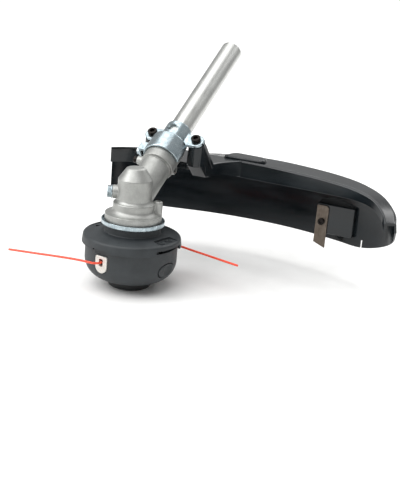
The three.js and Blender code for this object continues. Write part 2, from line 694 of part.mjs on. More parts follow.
// Latch button on a moulded arm that hooks the lid.
function latch(turn) {
  const proud = 0.5;
  const skin = turned([
    [0, BODY_BOTTOM], ...bowlCurve(-proud).reverse(), [BODY_R + proud, BODY_TOP], [0, BODY_TOP],
  ]);
  const block = placed(plate(latchShape(0), latchReach - 4.9, latchReach + 5), atLatch(turn));
  const button = block.intersect(skin);
  const arm = placed(box([BODY_R - 6.3, -5, LATCH_Z + 1], [BODY_R - 3.3, 5, 49.6]), turnZ(LATCH_TURN + turn));
  return joined(button, arm);
}
add('latch_right', latch(0), 'head_nylon');
add('latch_left', latch(180), 'head_nylon');

// ---------- bump knob, spool, line and spring ----------
const knobTop = BODY_BOTTOM + 4.6;
const stemR = 17;

function bumpKnob() {
  const low = -KNOB_DROP;
  const stemTop = SPOOL_BOTTOM - GAP;
  const stemBore = stemR - 3;
  return turned([
    [0, low], [KNOB_R - 4.5, low], [KNOB_R - 1.4, low + 0.8], [KNOB_R - 0.2, low + 3],
    [KNOB_R, low + 6], [KNOB_R, knobTop],
    [stemR, knobTop], [stemR, stemTop], [stemBore, stemTop], [stemBore, 4], [0, 4],
  ], MEDIUM);
}
add('bump_knob', bumpKnob(), 'head_nylon');

const spoolTop = SPOOL_BOTTOM + SPOOL_HEIGHT;
const hubR = 20;
const spoolFlange = 2.2;
function spool() {
  const bore = ARBOR_R + 0.5;
  const seatR = 17.5;
  const low = SPOOL_BOTTOM + spoolFlange;
  const high = spoolTop - spoolFlange;
  return turned([
    [bore, SPOOL_BOTTOM], [SPOOL_R, SPOOL_BOTTOM], [SPOOL_R, low], [hubR, low],
    [hubR, high], [SPOOL_R, high], [SPOOL_R, spoolTop], [seatR, spoolTop],
    [seatR, springSeat - GAP], [bore, springSeat - GAP],
  ], MEDIUM);
}
add('spool', spool(), 'head_nylon');

function lineWinding() {
  const low = SPOOL_BOTTOM + spoolFlange + GAP;
  const high = spoolTop - spoolFlange - GAP;
  const outer = SPOOL_R - 6;
  return turned([
    [hubR + GAP, low], [outer - 1, low], [outer, low + 1.2], [outer, high - 1.2], [outer - 1, high],
    [hubR + GAP, high],
  ], MEDIUM);
}
add('line_winding', lineWinding(), 'line');

function headSpring() {
  const wire = 0.9;
  const radius = 14.2;
  const coils = 5;
  const low = springSeat + wire;
  const high = springCeiling - GAP - wire;
  class Helix extends THREE.Curve {
    getPoint(share, target = new THREE.Vector3()) {
      const turn = share * coils * 2 * Math.PI;
      return target.set(radius * Math.cos(turn), radius * Math.sin(turn), low + share * (high - low));
    }
  }
  const round = new THREE.Shape().absarc(0, 0, wire, 0, Math.PI * 2);
  const geometry = new THREE.ExtrudeGeometry(round, {
    extrudePath: new Helix(), steps: coils * 12, bevelEnabled: false, curveSegments: 3,
  });
  const solid = solidOf(geometry);
  return solid.volume() > 0 ? solid : solidOf(flipped(geometry));
}

function flipped(geometry) {
  const turnedOver = mergeVertices(geometry, 1e-4);
  turnedOver.setIndex([...turnedOver.index.array].reverse());
  return turnedOver;
}
add('head_spring', headSpring(), 'steel');

// Free ends of the cutting line. The points are the route of each strand out of its eyelet.
const frontRoute = [
  [-7.1, -42.4, 34.6], [-7.7, -45.9, 34.6], [-8.2, -49.3, 34.7], [-8.7, -52.3, 34.9],
  [-9.8, -55.3, 35.2], [-11.7, -57.8, 35.6], [-14.2, -59.5, 36], [-17.4, -60.3, 36.3],
  [-25, -61.2, 36.6], [-36, -62.6, 36.6], [-47, -64, 36.3], [-58, -65.4, 35.9], [-70, -67, 35.4],
  [-82, -68.6, 34.9], [-94, -70.2, 34.5], [-107, -72, 34],
];
const rearRoute = [
  [7.1, 42.4, 34.6], [7.7, 45.9, 34.6], [8.2, 49.3, 34.6], [8.7, 52.3, 34.5],
  [9.8, 55.3, 34.4], [11.7, 57.8, 34.2], [14.2, 59.6, 33.9], [17.4, 60.6, 33.5],
  [25, 61.2, 32.6], [34, 61, 31.7], [45, 60, 30.8], [57, 58.4, 30.2], [70, 56.1, 29.8],
  [82, 53.4, 29.6], [94, 50.3, 29.6], [105.5, 47, 29.8],
];
function strand(route) {
  const path = new THREE.CatmullRomCurve3(route.map((point) => new THREE.Vector3(...point)));
  const round = outline([0, 1, 2, 3, 4, 5, 6, 7].map((side) => polar(LINE_R, 45 * side)));
  const geometry = new THREE.ExtrudeGeometry(round, { extrudePath: path, steps: 28, bevelEnabled: false });
  const solid = solidOf(geometry);
  return solid.volume() > 0 ? solid : solidOf(flipped(geometry));
}
add('line_strand_front', strand(frontRoute), 'line');
add('line_strand_rear', strand(rearRoute), 'line');

// ---------- guard ----------
// Control points of the guard's plan, from its short side to the curled end:
// x, y of the outer wall, height of the wall's lower edge, height of the deck,
// x, y of the front lip, height of the lip's lower edge, height of the lip's top.
const guardPlan = [
  [-108, 139, 60, 107, -91, 105, 101, 119],
  [-90, 153, 43, 107, -77, 121, 101, 119],
  [-45, 175, 40, 110, -42, 139, 101, 120],
  [15, 190, 40, 117, 15, 147, 101, 120],
  [77, 196, 40, 120, 77, 149, 100.5, 120],
  [130, 191.5, 40, 119.5, 128, 143.5, 101.5, 119.5],
  [175, 180, 40, 118.5, 172, 135.5, 103, 118.5],
  [205, 168, 41, 116, 202, 127, 104, 116.5],
  [231, 152, 50, 110.5, 226, 116, 101, 111.5],
  [250, 132, 64, 101, 240, 106, 92, 101.5],
  [257, 110, 82, 93, 245, 98, 84, 93.5],
];

// The section runs from the wall's lower edge, over the deck, to the lip's lower edge.
// across is measured from the wall to the lip, and inset lifts it inwards by the wall thickness.
function guardSection(width, low, top, lipLow, lipTop) {
  const round = Math.min(9, width * 0.3, (top - low) * 0.3);
  const lean = 1.5;
  const edge = 1.6;
  const side = (inset) => {
    const points = [[inset, low]];
    for (let step = 0; step <= 4; step += 1) {
      const angle = (step / 4) * Math.PI / 2;
      const reach = round - inset;
      points.push([lean + round - reach * Math.cos(angle), top - round + reach * Math.sin(angle)]);
    }
    points.push([width - edge - inset, lipTop - inset], [width - inset, lipTop - edge - inset]);
    points.push([width - inset, lipLow]);
    return points;
  };
  const outside = side(0);
  const inside = side(GUARD_WALL);
  return [...outside, ...inside.reverse()];
}

function splineThrough(column) {
  const points = guardPlan.map((row) => new THREE.Vector3(...column.map((at) => row[at])));
  return new THREE.CatmullRomCurve3(points, false, 'centripetal');
}

function guardShell() {
  const wallLine = splineThrough([0, 1, 2]);
  const lipLine = splineThrough([4, 5, 6]);
  const deckLine = splineThrough([0, 1, 3]);
  const lipTopLine = splineThrough([4, 5, 7]);
  const stations = 34;
  const rings = [];
  const flats = [];
  for (let station = 0; station <= stations; station += 1) {
    const share = station / stations;
    const foot = wallLine.getPoint(share);
    const lip = lipLine.getPoint(share);
    const deck = deckLine.getPoint(share).z;
    const inwards = new THREE.Vector2(lip.x - foot.x, lip.y - foot.y);
    const width = inwards.length();
    inwards.normalize();
    const section = guardSection(width, foot.z, deck, lip.z, lipTopLine.getPoint(share).z);
    flats.push(section.map(([across, height]) => new THREE.Vector2(across, height)));
    rings.push(section.map(([across, height]) =>
      new THREE.Vector3(foot.x + inwards.x * across, foot.y + inwards.y * across, height)));
  }
  return loft(rings, flats[0], flats[stations]);
}

// Hollow bracket that carries the guard under the shaft, open below, with two screw bosses.
function guardBracket() {
  const front = 93;
  const back = 156;
  const rim = 101;
  const plan = (inset) => outline([
    [EARS[1] - 9 + inset, front + inset], [EARS[0] + 9 - inset, front + inset], [EARS[0] + 12 - inset, 118],
    [62 - inset, back - inset], [-62 + inset, back - inset], [EARS[1] - 12 + inset, 118],
  ]);
  const shell = cut(plate(plan(0), rim, GUARD_TOP), plate(plan(GUARD_WALL), rim - 5, GUARD_TOP - GUARD_WALL));
  const clear = box([-50, 140, 60], [50, 200, GUARD_TOP - GUARD_WALL]);
  const boss = (x) => aboveShaft(rod(BOSS_R, -BOSS_LENGTH, EAR_UP - GAP), x, EAR_AT);
  const gusset = (x) => {
    const away = Math.sign(x);
    const shape = outline([
      [x + 4 * away, -3], [x + 9 * away, -3], [x + 14 * away, -BOSS_LENGTH], [x + 4 * away, -BOSS_LENGTH],
    ]);
    return aboveShaft(standing(shape, 5), 0, EAR_AT + 2);
  };
  const rise = outline([
    [front - 20, rim - 20], [front - 20, 112], [front, 112], [back - 6, rim], [back, rim - 20],
  ]);
  const under = plate(rise, -80, 80);
  const upright = new THREE.Matrix4().makeBasis(
    new THREE.Vector3(0, 1, 0), new THREE.Vector3(0, 0, 1), new THREE.Vector3(1, 0, 0));
  const raised = cut(shell, clear, placed(under, upright));
  return joined(raised, ...EARS.map(boss), ...EARS.map(gusset));
}

// An outline drawn in (x, z), made thick along y, centred on y = 0.
function standing(shape, thick) {
  const flat = plate(shape, -thick / 2, thick / 2);
  return placed(flat, new THREE.Matrix4().makeRotationX(Math.PI / 2));
}

// Solid block on the wall's inner face that the blade is screwed to.
const bladeBack = BLADE_Y + BLADE_THICK + GAP;
const bladeScrewR = 2.3;
function bladeBlock() {
  const half = BLADE_WIDTH / 2;
  const shape = outline([
    [BLADE_X - half, bladeBack], [BLADE_X + half + 3, bladeBack], [196, 164], [196, 173.5],
    [BLADE_X - half - 3, 186],
  ]);
  return plate(shape, 50, BLADE_HIGH + 2);
}

function guard() {
  const bracket = guardBracket();
  const rib = plate(outline([[32, 151], [86, 154], [80, 176], [38, 178]]), GUARD_TOP - 1, GUARD_TOP + 3);
  const whole = joined(guardShell(), bracket, bladeBlock(), rib);
  const screwHoles = EARS.map((x) => aboveShaft(
    rod(CLAMP_SCREW_R + GAP, EAR_UP - BOSS_LENGTH + 8, EAR_UP + 5, TINY), x, EAR_AT));
  const bladeHole = placed(rod(bladeScrewR + GAP, 0, 16, TINY), bladeAxis());
  const slit = box([207, 140, 30], [208.8, 200, 62]);
  return cut(whole, ...screwHoles, bladeHole, slit);
}

// Local Z points from the blade's screw into the block.
function bladeAxis() {
  return shift(BLADE_X, BLADE_Y, BLADE_SCREW_Z).multiply(new THREE.Matrix4().makeRotationX(-Math.PI / 2));
}
add('guard', guard(), 'guard_plastic');

// ---------- line cutter ----------
function cutterBlade() {
  const half = BLADE_WIDTH / 2;
  const shape = outline([
    [-half, BLADE_LOW + 5.5], [half, BLADE_LOW], [half, BLADE_HIGH - 2.5],
    [half - 2.5, BLADE_HIGH], [-half, BLADE_HIGH],
  ]);
  const blade = placed(standing(shape, BLADE_THICK), shift(BLADE_X, BLADE_Y + BLADE_THICK / 2, 0));
  return cut(blade, placed(rod(bladeScrewR + GAP, -5, 5, TINY), bladeAxis()));
}
add('cutter_blade', cutterBlade(), 'blade_steel');

function bladeScrew() {
  const outOfBlock = bladeAxis().multiply(new THREE.Matrix4().makeRotationX(Math.PI));
  return placed(capScrew(bladeScrewR, 13, 4, 2.6), outOfBlock.multiply(shift(0, 0, GAP)));
}
add('blade_screw', bladeScrew(), 'black_steel');

group.position.z = KNOB_DROP;

export default group;
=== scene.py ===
# %% [markdown]
# # The working end of a string trimmer
# A two-stroke or battery trimmer ends in a bent gear case, a cutting head on a spindle and a plastic
# guard behind it. The frame below brings in the machine's bodies, joints and plain solids, all in
# metres. Every finer piece made here lies exactly where its plain solid is, and takes its place.

# %% Load the frame
import json
import math
import bmesh
import bpy
import numpy as np
from mathutils import Matrix, Vector


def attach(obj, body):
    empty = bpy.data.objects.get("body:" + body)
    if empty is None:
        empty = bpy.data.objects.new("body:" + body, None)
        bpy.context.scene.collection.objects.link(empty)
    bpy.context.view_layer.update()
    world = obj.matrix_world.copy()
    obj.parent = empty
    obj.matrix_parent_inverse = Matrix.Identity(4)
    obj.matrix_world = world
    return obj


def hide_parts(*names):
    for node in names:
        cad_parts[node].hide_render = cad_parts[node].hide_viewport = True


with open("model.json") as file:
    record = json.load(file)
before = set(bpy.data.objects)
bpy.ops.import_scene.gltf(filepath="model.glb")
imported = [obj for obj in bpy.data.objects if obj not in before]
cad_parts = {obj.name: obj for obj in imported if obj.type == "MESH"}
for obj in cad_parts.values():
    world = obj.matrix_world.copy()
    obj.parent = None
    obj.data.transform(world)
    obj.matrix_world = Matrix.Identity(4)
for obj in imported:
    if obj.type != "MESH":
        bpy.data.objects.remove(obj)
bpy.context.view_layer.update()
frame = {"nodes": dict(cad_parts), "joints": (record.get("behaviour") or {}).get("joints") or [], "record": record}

record = frame["record"]
joint = {entry["name"]: entry for entry in frame["joints"]}
body_of = {node: body for body, nodes in record["behaviour"]["bodies"].items() for node in nodes}
slot_of = {part["node"]: part["material_slot"] for part in record["subparts"]}
print("bodies:", sorted(set(body_of.values())))

# %% [markdown]
# ## Camera
# A long lens, a little above the cutting head and turned to its left-hand side, so that the head is
# near and the guard sweeps away to the right. The place is given by angles and a distance from a
# point on the spindle, and the view by a heading, a pitch and a slight roll.

# %% Camera
AIM_HEIGHT = 0.07432          # a point on the spindle, inside the top of the cutting head
CAMERA_AZIMUTH = 27.975       # degrees round from straight in front, towards +X
CAMERA_ELEVATION = 16.334
CAMERA_DISTANCE = 1.0
HEADING = 23.571              # where the lens points, degrees from +Y
PITCH = 17.948                # degrees below level
ROLL = 4.981
LENS = 67.5                   # mm, on a sensor 36 mm long

azimuth = math.radians(CAMERA_AZIMUTH)
elevation = math.radians(CAMERA_ELEVATION)
offset = Vector((math.sin(azimuth) * math.cos(elevation), -math.cos(azimuth) * math.cos(elevation),
                 math.sin(elevation)))
lens = bpy.data.cameras.new("camera")
lens.lens = LENS
lens.sensor_width = 36
camera = bpy.data.objects.new("camera", lens)
turn = Matrix.Rotation(math.radians(HEADING), 4, "Z")
turn = turn @ Matrix.Rotation(math.radians(90 - PITCH), 4, "X")
turn = turn @ Matrix.Rotation(math.radians(ROLL), 4, "Z")
camera.matrix_world = Matrix.Translation(Vector((0, 0, AIM_HEIGHT)) + offset * CAMERA_DISTANCE) @ turn
bpy.context.scene.collection.objects.link(camera)
bpy.context.scene.camera = camera
print("camera at", [round(value, 3) for value in camera.matrix_world.translation])

# %% [markdown]
# ## Lengths and places
# A machine drawing is read in millimetres, so the shapes below are drawn in millimetres and turned
# to metres once, when the mesh is made. Heights count from a datum a little above the knob's face.
# The shaft frame has its Z along the shaft, from the point where the shaft meets the spindle.

# %% Units and local frames
MM = 0.001
DROP = 1.6                    # the knob's face is this far below the height datum
SHAFT_RISE = 32               # degrees
APEX = joint["spindle_spin"]["pos_m"][2] / MM - DROP


def shift(x, y, z):
    return Matrix.Translation((x, y, z))


def spin(degrees, axis):
    return Matrix.Rotation(math.radians(degrees), 4, axis)


SHAFT = shift(0, 0, APEX) @ spin(SHAFT_RISE - 90, "X")


def above_shaft(x, along):
    """Local Z points away from the shaft's upper side, from a seat at this place on its axis."""
    return SHAFT @ shift(x, 0, along) @ spin(90, "X")


def across_shaft(along, up):
    """Local Z runs along +X, at this place along the shaft and this far above its axis."""
    return SHAFT @ shift(0, -up, along) @ spin(90, "Y")


def outward(degrees, height, tip=0):
    """Local Z points out from the spindle at this turn and height, tipped down by tip degrees."""
    return shift(0, 0, height) @ spin(degrees, "Z") @ spin(90 + tip, "Y")


UPRIGHT = spin(90, "X")       # local X stays, local Y points up, local Z points to -Y
# local X points to +Y, local Y points up and local Z points to +X
SIDEWAYS = Matrix(((0, 0, 1, 0), (1, 0, 0, 0), (0, 1, 0, 0), (0, 0, 0, 1)))


def facing(degrees):
    """Local X runs round the head, local Y up it and local Z out of it, at this turn."""
    return spin(degrees, "Z") @ SIDEWAYS


print("shaft meets spindle at", round(APEX, 2), "mm over the datum")

# %% [markdown]
# ## Surfaces on a grid
# Nearly every part here was turned on a lathe, moulded, pressed or cut from plate. All of those are
# grids of points: a profile carried round an axis, or an outline carried along a path. The helpers
# work on whole numpy arrays and hand back points and faces, which are joined into one mesh later.

# %% Grid helpers
def corners_rounded(points, radius, steps=4):
    """Every corner P of a closed outline turns into the curve (1-u)^2 S + 2u(1-u) P + u^2 E.

    S and E lie radius away from P on the two sides, or less where a side is short. The last two
    axes of points are the corners and their two coordinates, so that many outlines go in at once."""
    points = np.asarray(points, float)
    back = np.roll(points, 1, axis=-2) - points
    ahead = np.roll(points, -1, axis=-2) - points
    back_length = np.linalg.norm(back, axis=-1)
    ahead_length = np.linalg.norm(ahead, axis=-1)
    reach = np.minimum(radius, 0.48 * np.minimum(back_length, ahead_length))
    start = points + back * (reach / back_length)[..., None]
    end = points + ahead * (reach / ahead_length)[..., None]
    u = np.linspace(0, 1, steps + 1)[:, None]
    start, corner, end = start[..., None, :], points[..., None, :], end[..., None, :]
    curve = (1 - u) ** 2 * start + 2 * u * (1 - u) * corner + u ** 2 * end
    return curve.reshape(*points.shape[:-2], -1, 2)


def skin(grid, wrap_rows=False):
    """Quads between each grid point and its neighbours. Rows that don't wrap get a flat end each."""
    rows, columns = grid.shape[:2]
    row, column = np.meshgrid(np.arange(rows if wrap_rows else rows - 1), np.arange(columns), indexing="ij")
    below = (row + 1) % rows
    beside = (column + 1) % columns
    faces = np.stack([row * columns + column, row * columns + beside,
                      below * columns + beside, below * columns + column], -1).reshape(-1, 4).tolist()
    if not wrap_rows:
        faces.append(list(range(columns)))
        faces.append(list(range((rows - 1) * columns, rows * columns)))
    return grid.reshape(-1, 3), faces


def moved(form, matrix):
    """The same form after a change of place: each point p becomes M p."""
    table = np.array(matrix)
    return form[0] @ table[:3, :3].T + table[:3, 3], form[1]


def revolved(profile, matrix=None, around=96, start=0, sweep=360):
    """A closed profile of (radius, height) carried round local Z: (r cos a, r sin a, h)."""
    profile = np.asarray(profile, float)
    whole = sweep == 360
    angle = np.radians(start + np.linspace(0, sweep, around + 1)[:around + (0 if whole else 1)])[:, None]
    radius = profile[None, :, 0]
    grid = np.stack([radius * np.cos(angle), radius * np.sin(angle),
                     np.broadcast_to(profile[None, :, 1], (len(angle), len(profile)))], -1)
    form = skin(grid, wrap_rows=whole)
    return form if matrix is None else moved(form, matrix)


def rod(radius, low, high, matrix=None, edge=0.4, around=48):
    """A turned rod with its ends' rims rounded by edge."""
    profile = corners_rounded([[0, low], [radius, low], [radius, high], [0, high]], [0, edge, edge, 0])
    return revolved(profile, matrix, around)


def inset(outline, distance):
    """Each corner moves inwards along the mean of its two sides' normals, divided by its cosine share."""
    sides = np.roll(outline, -1, axis=0) - outline
    sides = sides / np.maximum(np.linalg.norm(sides, axis=1), 1e-9)[:, None]
    normal = np.stack([-sides[:, 1], sides[:, 0]], 1)
    before = np.roll(normal, 1, axis=0)
    mean = (normal + before) / (1 + (normal * before).sum(1, keepdims=True))
    return outline + mean * distance


def tidy_outline(outline):
    """The outline without repeated points, turning anticlockwise."""
    outline = np.asarray(outline, float)
    apart = np.linalg.norm(np.roll(outline, -1, axis=0) - outline, axis=1) > 1e-6
    outline = outline[apart]
    x, y = outline.T
    area = (x * np.roll(y, -1) - y * np.roll(x, -1)).sum()
    return outline if area > 0 else outline[::-1]


def slab(outline, low, high, matrix=None, edge=0.4, steps=4):
    """An outline carried up from low to high, drawn in by edge (1 - sin u) where a rim rounds off."""
    outline = tidy_outline(outline)
    u = np.linspace(0, math.pi / 2, steps + 1)
    draw_in = edge * (1 - np.sin(u))
    lift = edge * (1 - np.cos(u))
    heights = np.concatenate([low + lift, (high - lift)[::-1]])
    insets = np.concatenate([draw_in, draw_in[::-1]])
    rings = [np.column_stack([inset(outline, by), np.full(len(outline), height)])
             for by, height in zip(insets, heights)]
    form = skin(np.array(rings))
    return form if matrix is None else moved(form, matrix)


def ellipse(half_width, half_height, points=64, centre=(0, 0)):
    angle = np.linspace(0, 2 * math.pi, points, endpoint=False)
    return np.column_stack([centre[0] + half_width * np.cos(angle), centre[1] + half_height * np.sin(angle)])


def hexagon(radius, edge=0.3):
    angle = np.radians(60 * np.arange(6) + 30)
    return corners_rounded(radius * np.column_stack([np.cos(angle), np.sin(angle)]), edge)


def block(low, high, matrix=None, edge=0.5):
    """A box with all its upright edges and rims rounded."""
    corners = [[low[0], low[1]], [high[0], low[1]], [high[0], high[1]], [low[0], high[1]]]
    outline = corners_rounded(corners, edge)
    return slab(outline, low[2], high[2], matrix, edge)


# %% [markdown]
# ## From forms to a finished piece
# Points that fall on the same place are merged, so poles and seams close, and the faces are then
# turned outwards. Edges sharper than a set angle stay sharp when shaded, and the rest shade
# smoothly. A casting is different: its separate forms melt together through a voxel remesh and a
# short smoothing, which leaves the small fillets that a mould's rounded corners give.

# %% Piece helpers
def piece(name, *forms, sharp=32):
    """One mesh object from several forms, in metres, with its seams closed."""
    starts = np.cumsum([0] + [len(form[0]) for form in forms])
    points = np.concatenate([form[0] for form in forms]) * MM + np.array([0, 0, DROP * MM])
    faces = [[int(start) + corner for corner in face]
             for start, form in zip(starts, forms) for face in form[1]]
    mesh = bpy.data.meshes.new(name)
    mesh.from_pydata(points.tolist(), [], faces)
    made = bmesh.new()
    made.from_mesh(mesh)
    bmesh.ops.remove_doubles(made, verts=made.verts, dist=2e-7)
    bmesh.ops.dissolve_degenerate(made, edges=made.edges, dist=1e-8)
    bmesh.ops.recalc_face_normals(made, faces=made.faces)
    made.to_mesh(mesh)
    made.free()
    shaded(mesh, sharp)
    thing = bpy.data.objects.new(name, mesh)
    bpy.context.scene.collection.objects.link(thing)
    return thing


def shaded(mesh, sharp):
    """Smooth shading, with the edges above this angle in degrees kept sharp."""
    mesh.polygons.foreach_set("use_smooth", np.ones(len(mesh.polygons), bool))
    mesh.set_sharp_from_angle(angle=math.radians(sharp))
    mesh.update()


def baked(thing, sharp=32):
    """Puts the result of the piece's modifiers into its mesh, and takes the modifiers off."""
    bpy.context.view_layer.update()
    depsgraph = bpy.context.evaluated_depsgraph_get()
    mesh = bpy.data.meshes.new_from_object(thing.evaluated_get(depsgraph))
    thing.modifiers.clear()
    old = thing.data
    thing.data = mesh
    bpy.data.meshes.remove(old)
    mesh.name = thing.name
    shaded(mesh, sharp)
    return thing


def melted(thing, voxel, rounds, keep=1.0):
    """Joins the piece's overlapping forms into one skin with small fillets."""
    remesh = thing.modifiers.new("melt", "REMESH")
    remesh.mode = "VOXEL"
    remesh.voxel_size = voxel * MM
    relax = thing.modifiers.new("fillets", "SMOOTH")
    relax.factor = 0.5
    relax.iterations = rounds
    if keep < 1:
        fewer = thing.modifiers.new("fewer", "DECIMATE")
        fewer.ratio = keep
    return baked(thing, 40)


def combined(thing, forms, operation, sharp=32):
    """Adds, cuts away or keeps the share of each form in turn."""
    for at, form in enumerate(forms):
        tool = piece("tool", form)
        step = thing.modifiers.new(f"step{at}", "BOOLEAN")
        step.operation = operation
        step.solver = "MANIFOLD"
        step.object = tool
        baked(thing, sharp)
        mesh = tool.data
        bpy.data.objects.remove(tool)
        bpy.data.meshes.remove(mesh)
    return thing


def without(thing, *forms, sharp=32):
    return combined(thing, forms, "DIFFERENCE", sharp)


def with_also(thing, *forms):
    return combined(thing, forms, "UNION")


def only_inside(thing, *forms):
    return combined(thing, forms, "INTERSECT")


finishes = {}                 # material slot name -> material, filled in below


def settle(thing, node, even=True):
    """Gives a piece its finish and its body, and lets it stand for a plain solid."""
    thing.data.materials.clear()
    thing.data.materials.append(finishes[slot_of[node]])
    if even:
        shading = thing.modifiers.new("even_shading", "WEIGHTED_NORMAL")
        shading.keep_sharp = True
    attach(thing, body_of[node])
    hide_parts(node)
    print(thing.name, "for", node, "-", len(thing.data.polygons), "faces")
    return thing


# %% [markdown]
# ## Finishes
# Each finish starts from the real material and from how its surface was made. Colours are sRGB hex
# values turned to linear by one function. Patterns read Object coordinates, which are the machine's
# own metres, so the scale of a pattern follows from a real size in millimetres.

# %% Node helpers
def linear(code):
    """sRGB hex to linear: c / 12.92 below 0.04045, and ((c + 0.055) / 1.055)^2.4 above it."""
    values = np.array([int(code[at:at + 2], 16) / 255 for at in (1, 3, 5)])
    values = np.where(values <= 0.04045, values / 12.92, ((values + 0.055) / 1.055) ** 2.4)
    return (*values.tolist(), 1.0)


def add(tree, kind, inputs=None, **settings):
    """Adds one node, with its settings and with each input as a value or another node's output."""
    node = tree.nodes.new(kind)
    for name, value in settings.items():
        setattr(node, name, value)
    for socket, value in (inputs or {}).items():
        if isinstance(value, bpy.types.NodeSocket):
            tree.links.new(value, node.inputs[socket])
        else:
            node.inputs[socket].default_value = value
    return node


def begin(name, **constants):
    """A new material with its shader's fixed values, and the machine's own coordinates to read."""
    material = bpy.data.materials.new(name)
    material.use_nodes = True
    tree = material.node_tree
    shader = tree.nodes["Principled BSDF"]
    for socket, value in constants.items():
        shader.inputs[socket.replace("_", " ")].default_value = value
    place = add(tree, "ShaderNodeTexCoord").outputs["Object"]
    return material, tree, shader, place


def per_mm(size):
    """A noise scale whose features are about this many millimetres across."""
    return 1 / (size * MM)


def noise(tree, place, size, detail=3, roughness=0.55):
    """Smooth noise with features of this size in millimetres."""
    return add(tree, "ShaderNodeTexNoise", {"Vector": place, "Scale": per_mm(size), "Detail": detail,
                                            "Roughness": roughness}).outputs["Fac"]


def between(tree, share, low, high):
    """low where share is about 0.3, high where it is about 0.7, and even in between."""
    ramp = add(tree, "ShaderNodeMapRange", {"Value": share, "From Min": 0.3, "From Max": 0.7,
                                            "To Min": low, "To Max": high})
    return ramp.outputs["Result"]


def mixed(tree, share, first, second):
    mix = add(tree, "ShaderNodeMix", {"Factor": share, "A": first, "B": second}, data_type="RGBA")
    return mix.outputs["Result"]


def link(tree, output, shader, socket):
    tree.links.new(output, shader.inputs[socket])


def bumped(tree, shader, height, depth, strength=1.0, below=None):
    """Surface relief of this depth in millimetres."""
    inputs = {"Height": height, "Distance": depth * MM, "Strength": strength}
    if below is not None:
        inputs["Normal"] = below
    bump = add(tree, "ShaderNodeBump", inputs)
    link(tree, bump.outputs["Normal"], shader, "Normal")
    return bump.outputs["Normal"]


def coloured(tree, shader, pattern, first, second):
    """The base colour from first to second by a pattern. Each is a hex code or a node's output."""
    first, second = (linear(tone) if isinstance(tone, str) else tone for tone in (first, second))
    link(tree, mixed(tree, pattern, first, second), shader, "Base Color")


def polished(tree, shader, pattern, low, high):
    """Roughness from low to high by a pattern."""
    link(tree, between(tree, pattern, low, high), shader, "Roughness")


# %% [markdown]
# ### Metals
# The shaft is drawn aluminium tube: the die leaves fine lines along it, and anodising makes it satin.
# The gear case is die cast and bead blasted, so it is evenly rough, with a little flow mottling.
# Pressed steel is zinc plated, bright and slightly blue. Screws are black oxide with an oil film.

# %% Metal finishes
def grained(name, first, second, low, high, grain, detail=3, **constants):
    """One even grain of this many millimetres moves the colour and the roughness together."""
    material, tree, shader, place = begin(name, **constants)
    texture = noise(tree, place, grain, detail)
    coloured(tree, shader, between(tree, texture, 0, 1), first, second)
    polished(tree, shader, texture, low, high)
    return material


def drawn_aluminium():
    """Drawn tube: lines 0.8 mm apart and 60 mm long, drawn coarser than real so that they show."""
    material, tree, shader, place = begin("drawn_anodised_aluminium", Metallic=1.0)
    lean = (math.radians(90 - SHAFT_RISE), 0, 0)
    along = add(tree, "ShaderNodeMapping", {"Vector": place, "Rotation": lean,
                                            "Scale": (1, 1, 0.014)}).outputs["Vector"]
    lines = noise(tree, along, 0.8, 2)
    cloud = noise(tree, place, 22, 2)
    coloured(tree, shader, between(tree, lines, 0, 1), "#D2D3D0", "#BBBCB9")
    polished(tree, shader, cloud, 0.3, 0.4)
    bumped(tree, shader, lines, 0.01, 0.35)
    return material


def die_cast_aluminium():
    """Bead blasted casting: pits about 0.9 mm across, coarser than real, and flow mottling at 9 mm."""
    material, tree, shader, place = begin("die_cast_aluminium", Metallic=1.0)
    pits = noise(tree, place, 0.9, 4, 0.7)
    mottle = noise(tree, place, 9, 3)
    tone = mixed(tree, between(tree, mottle, 0, 1), linear("#B6B7B4"), linear("#A2A3A0"))
    coloured(tree, shader, between(tree, pits, 0, 0.5), tone, "#8E8F8C")
    polished(tree, shader, pits, 0.44, 0.58)
    bumped(tree, shader, pits, 0.05, 0.35)
    return material


def bright_zinc():
    """Zinc plate on pressed steel: bright, a little blue, cloudy at 5 mm where the bath left it thicker."""
    material, tree, shader, place = begin("bright_zinc_plate", Metallic=1.0)
    cloud = noise(tree, place, 5, 3)
    ripple = noise(tree, place, 2.2, 2)
    coloured(tree, shader, between(tree, cloud, 0, 1), "#BAC6CB", "#8E9CA2")
    polished(tree, shader, cloud, 0.2, 0.36)
    bumped(tree, shader, ripple, 0.02, 0.15)
    return material


def blade_strip():
    """Hardened strip: brown-grey from tempering, with rolling lines 0.7 mm apart up the blade."""
    material, tree, shader, place = begin("hardened_steel_strip", Metallic=1.0)
    up = add(tree, "ShaderNodeMapping", {"Vector": place, "Scale": (1, 1, 0.05)}).outputs["Vector"]
    lines = noise(tree, up, 0.7, 3)
    stain = noise(tree, place, 7, 3)
    tone = mixed(tree, between(tree, stain, 0, 1), linear("#6B6259"), linear("#584F47"))
    coloured(tree, shader, between(tree, lines, 0, 0.5), tone, "#7C736A")
    polished(tree, shader, stain, 0.38, 0.52)
    bumped(tree, shader, lines, 0.02, 0.3)
    return material


def sintered_steel():
    """Pressed and sintered powder: pale, dull and open-grained, with grains at 0.8 mm."""
    material, tree, shader, place = begin("sintered_metal", Metallic=0.75)
    grain = noise(tree, place, 0.8, 4, 0.7)
    coloured(tree, shader, between(tree, grain, 0, 1), "#E4E1DC", "#CFCBC4")
    polished(tree, shader, grain, 0.5, 0.62)
    bumped(tree, shader, grain, 0.04, 0.3)
    return material


# %% [markdown]
# ### Plastics
# The head is glass-filled nylon from a spark-eroded mould: charcoal, matte, with a fine even grain.
# The guard is polypropylene from a polished mould: nearly black with a blue cast, glossy, with slow
# waves where the melt flowed and shrank. The line is extruded nylon, red and slightly see-through.

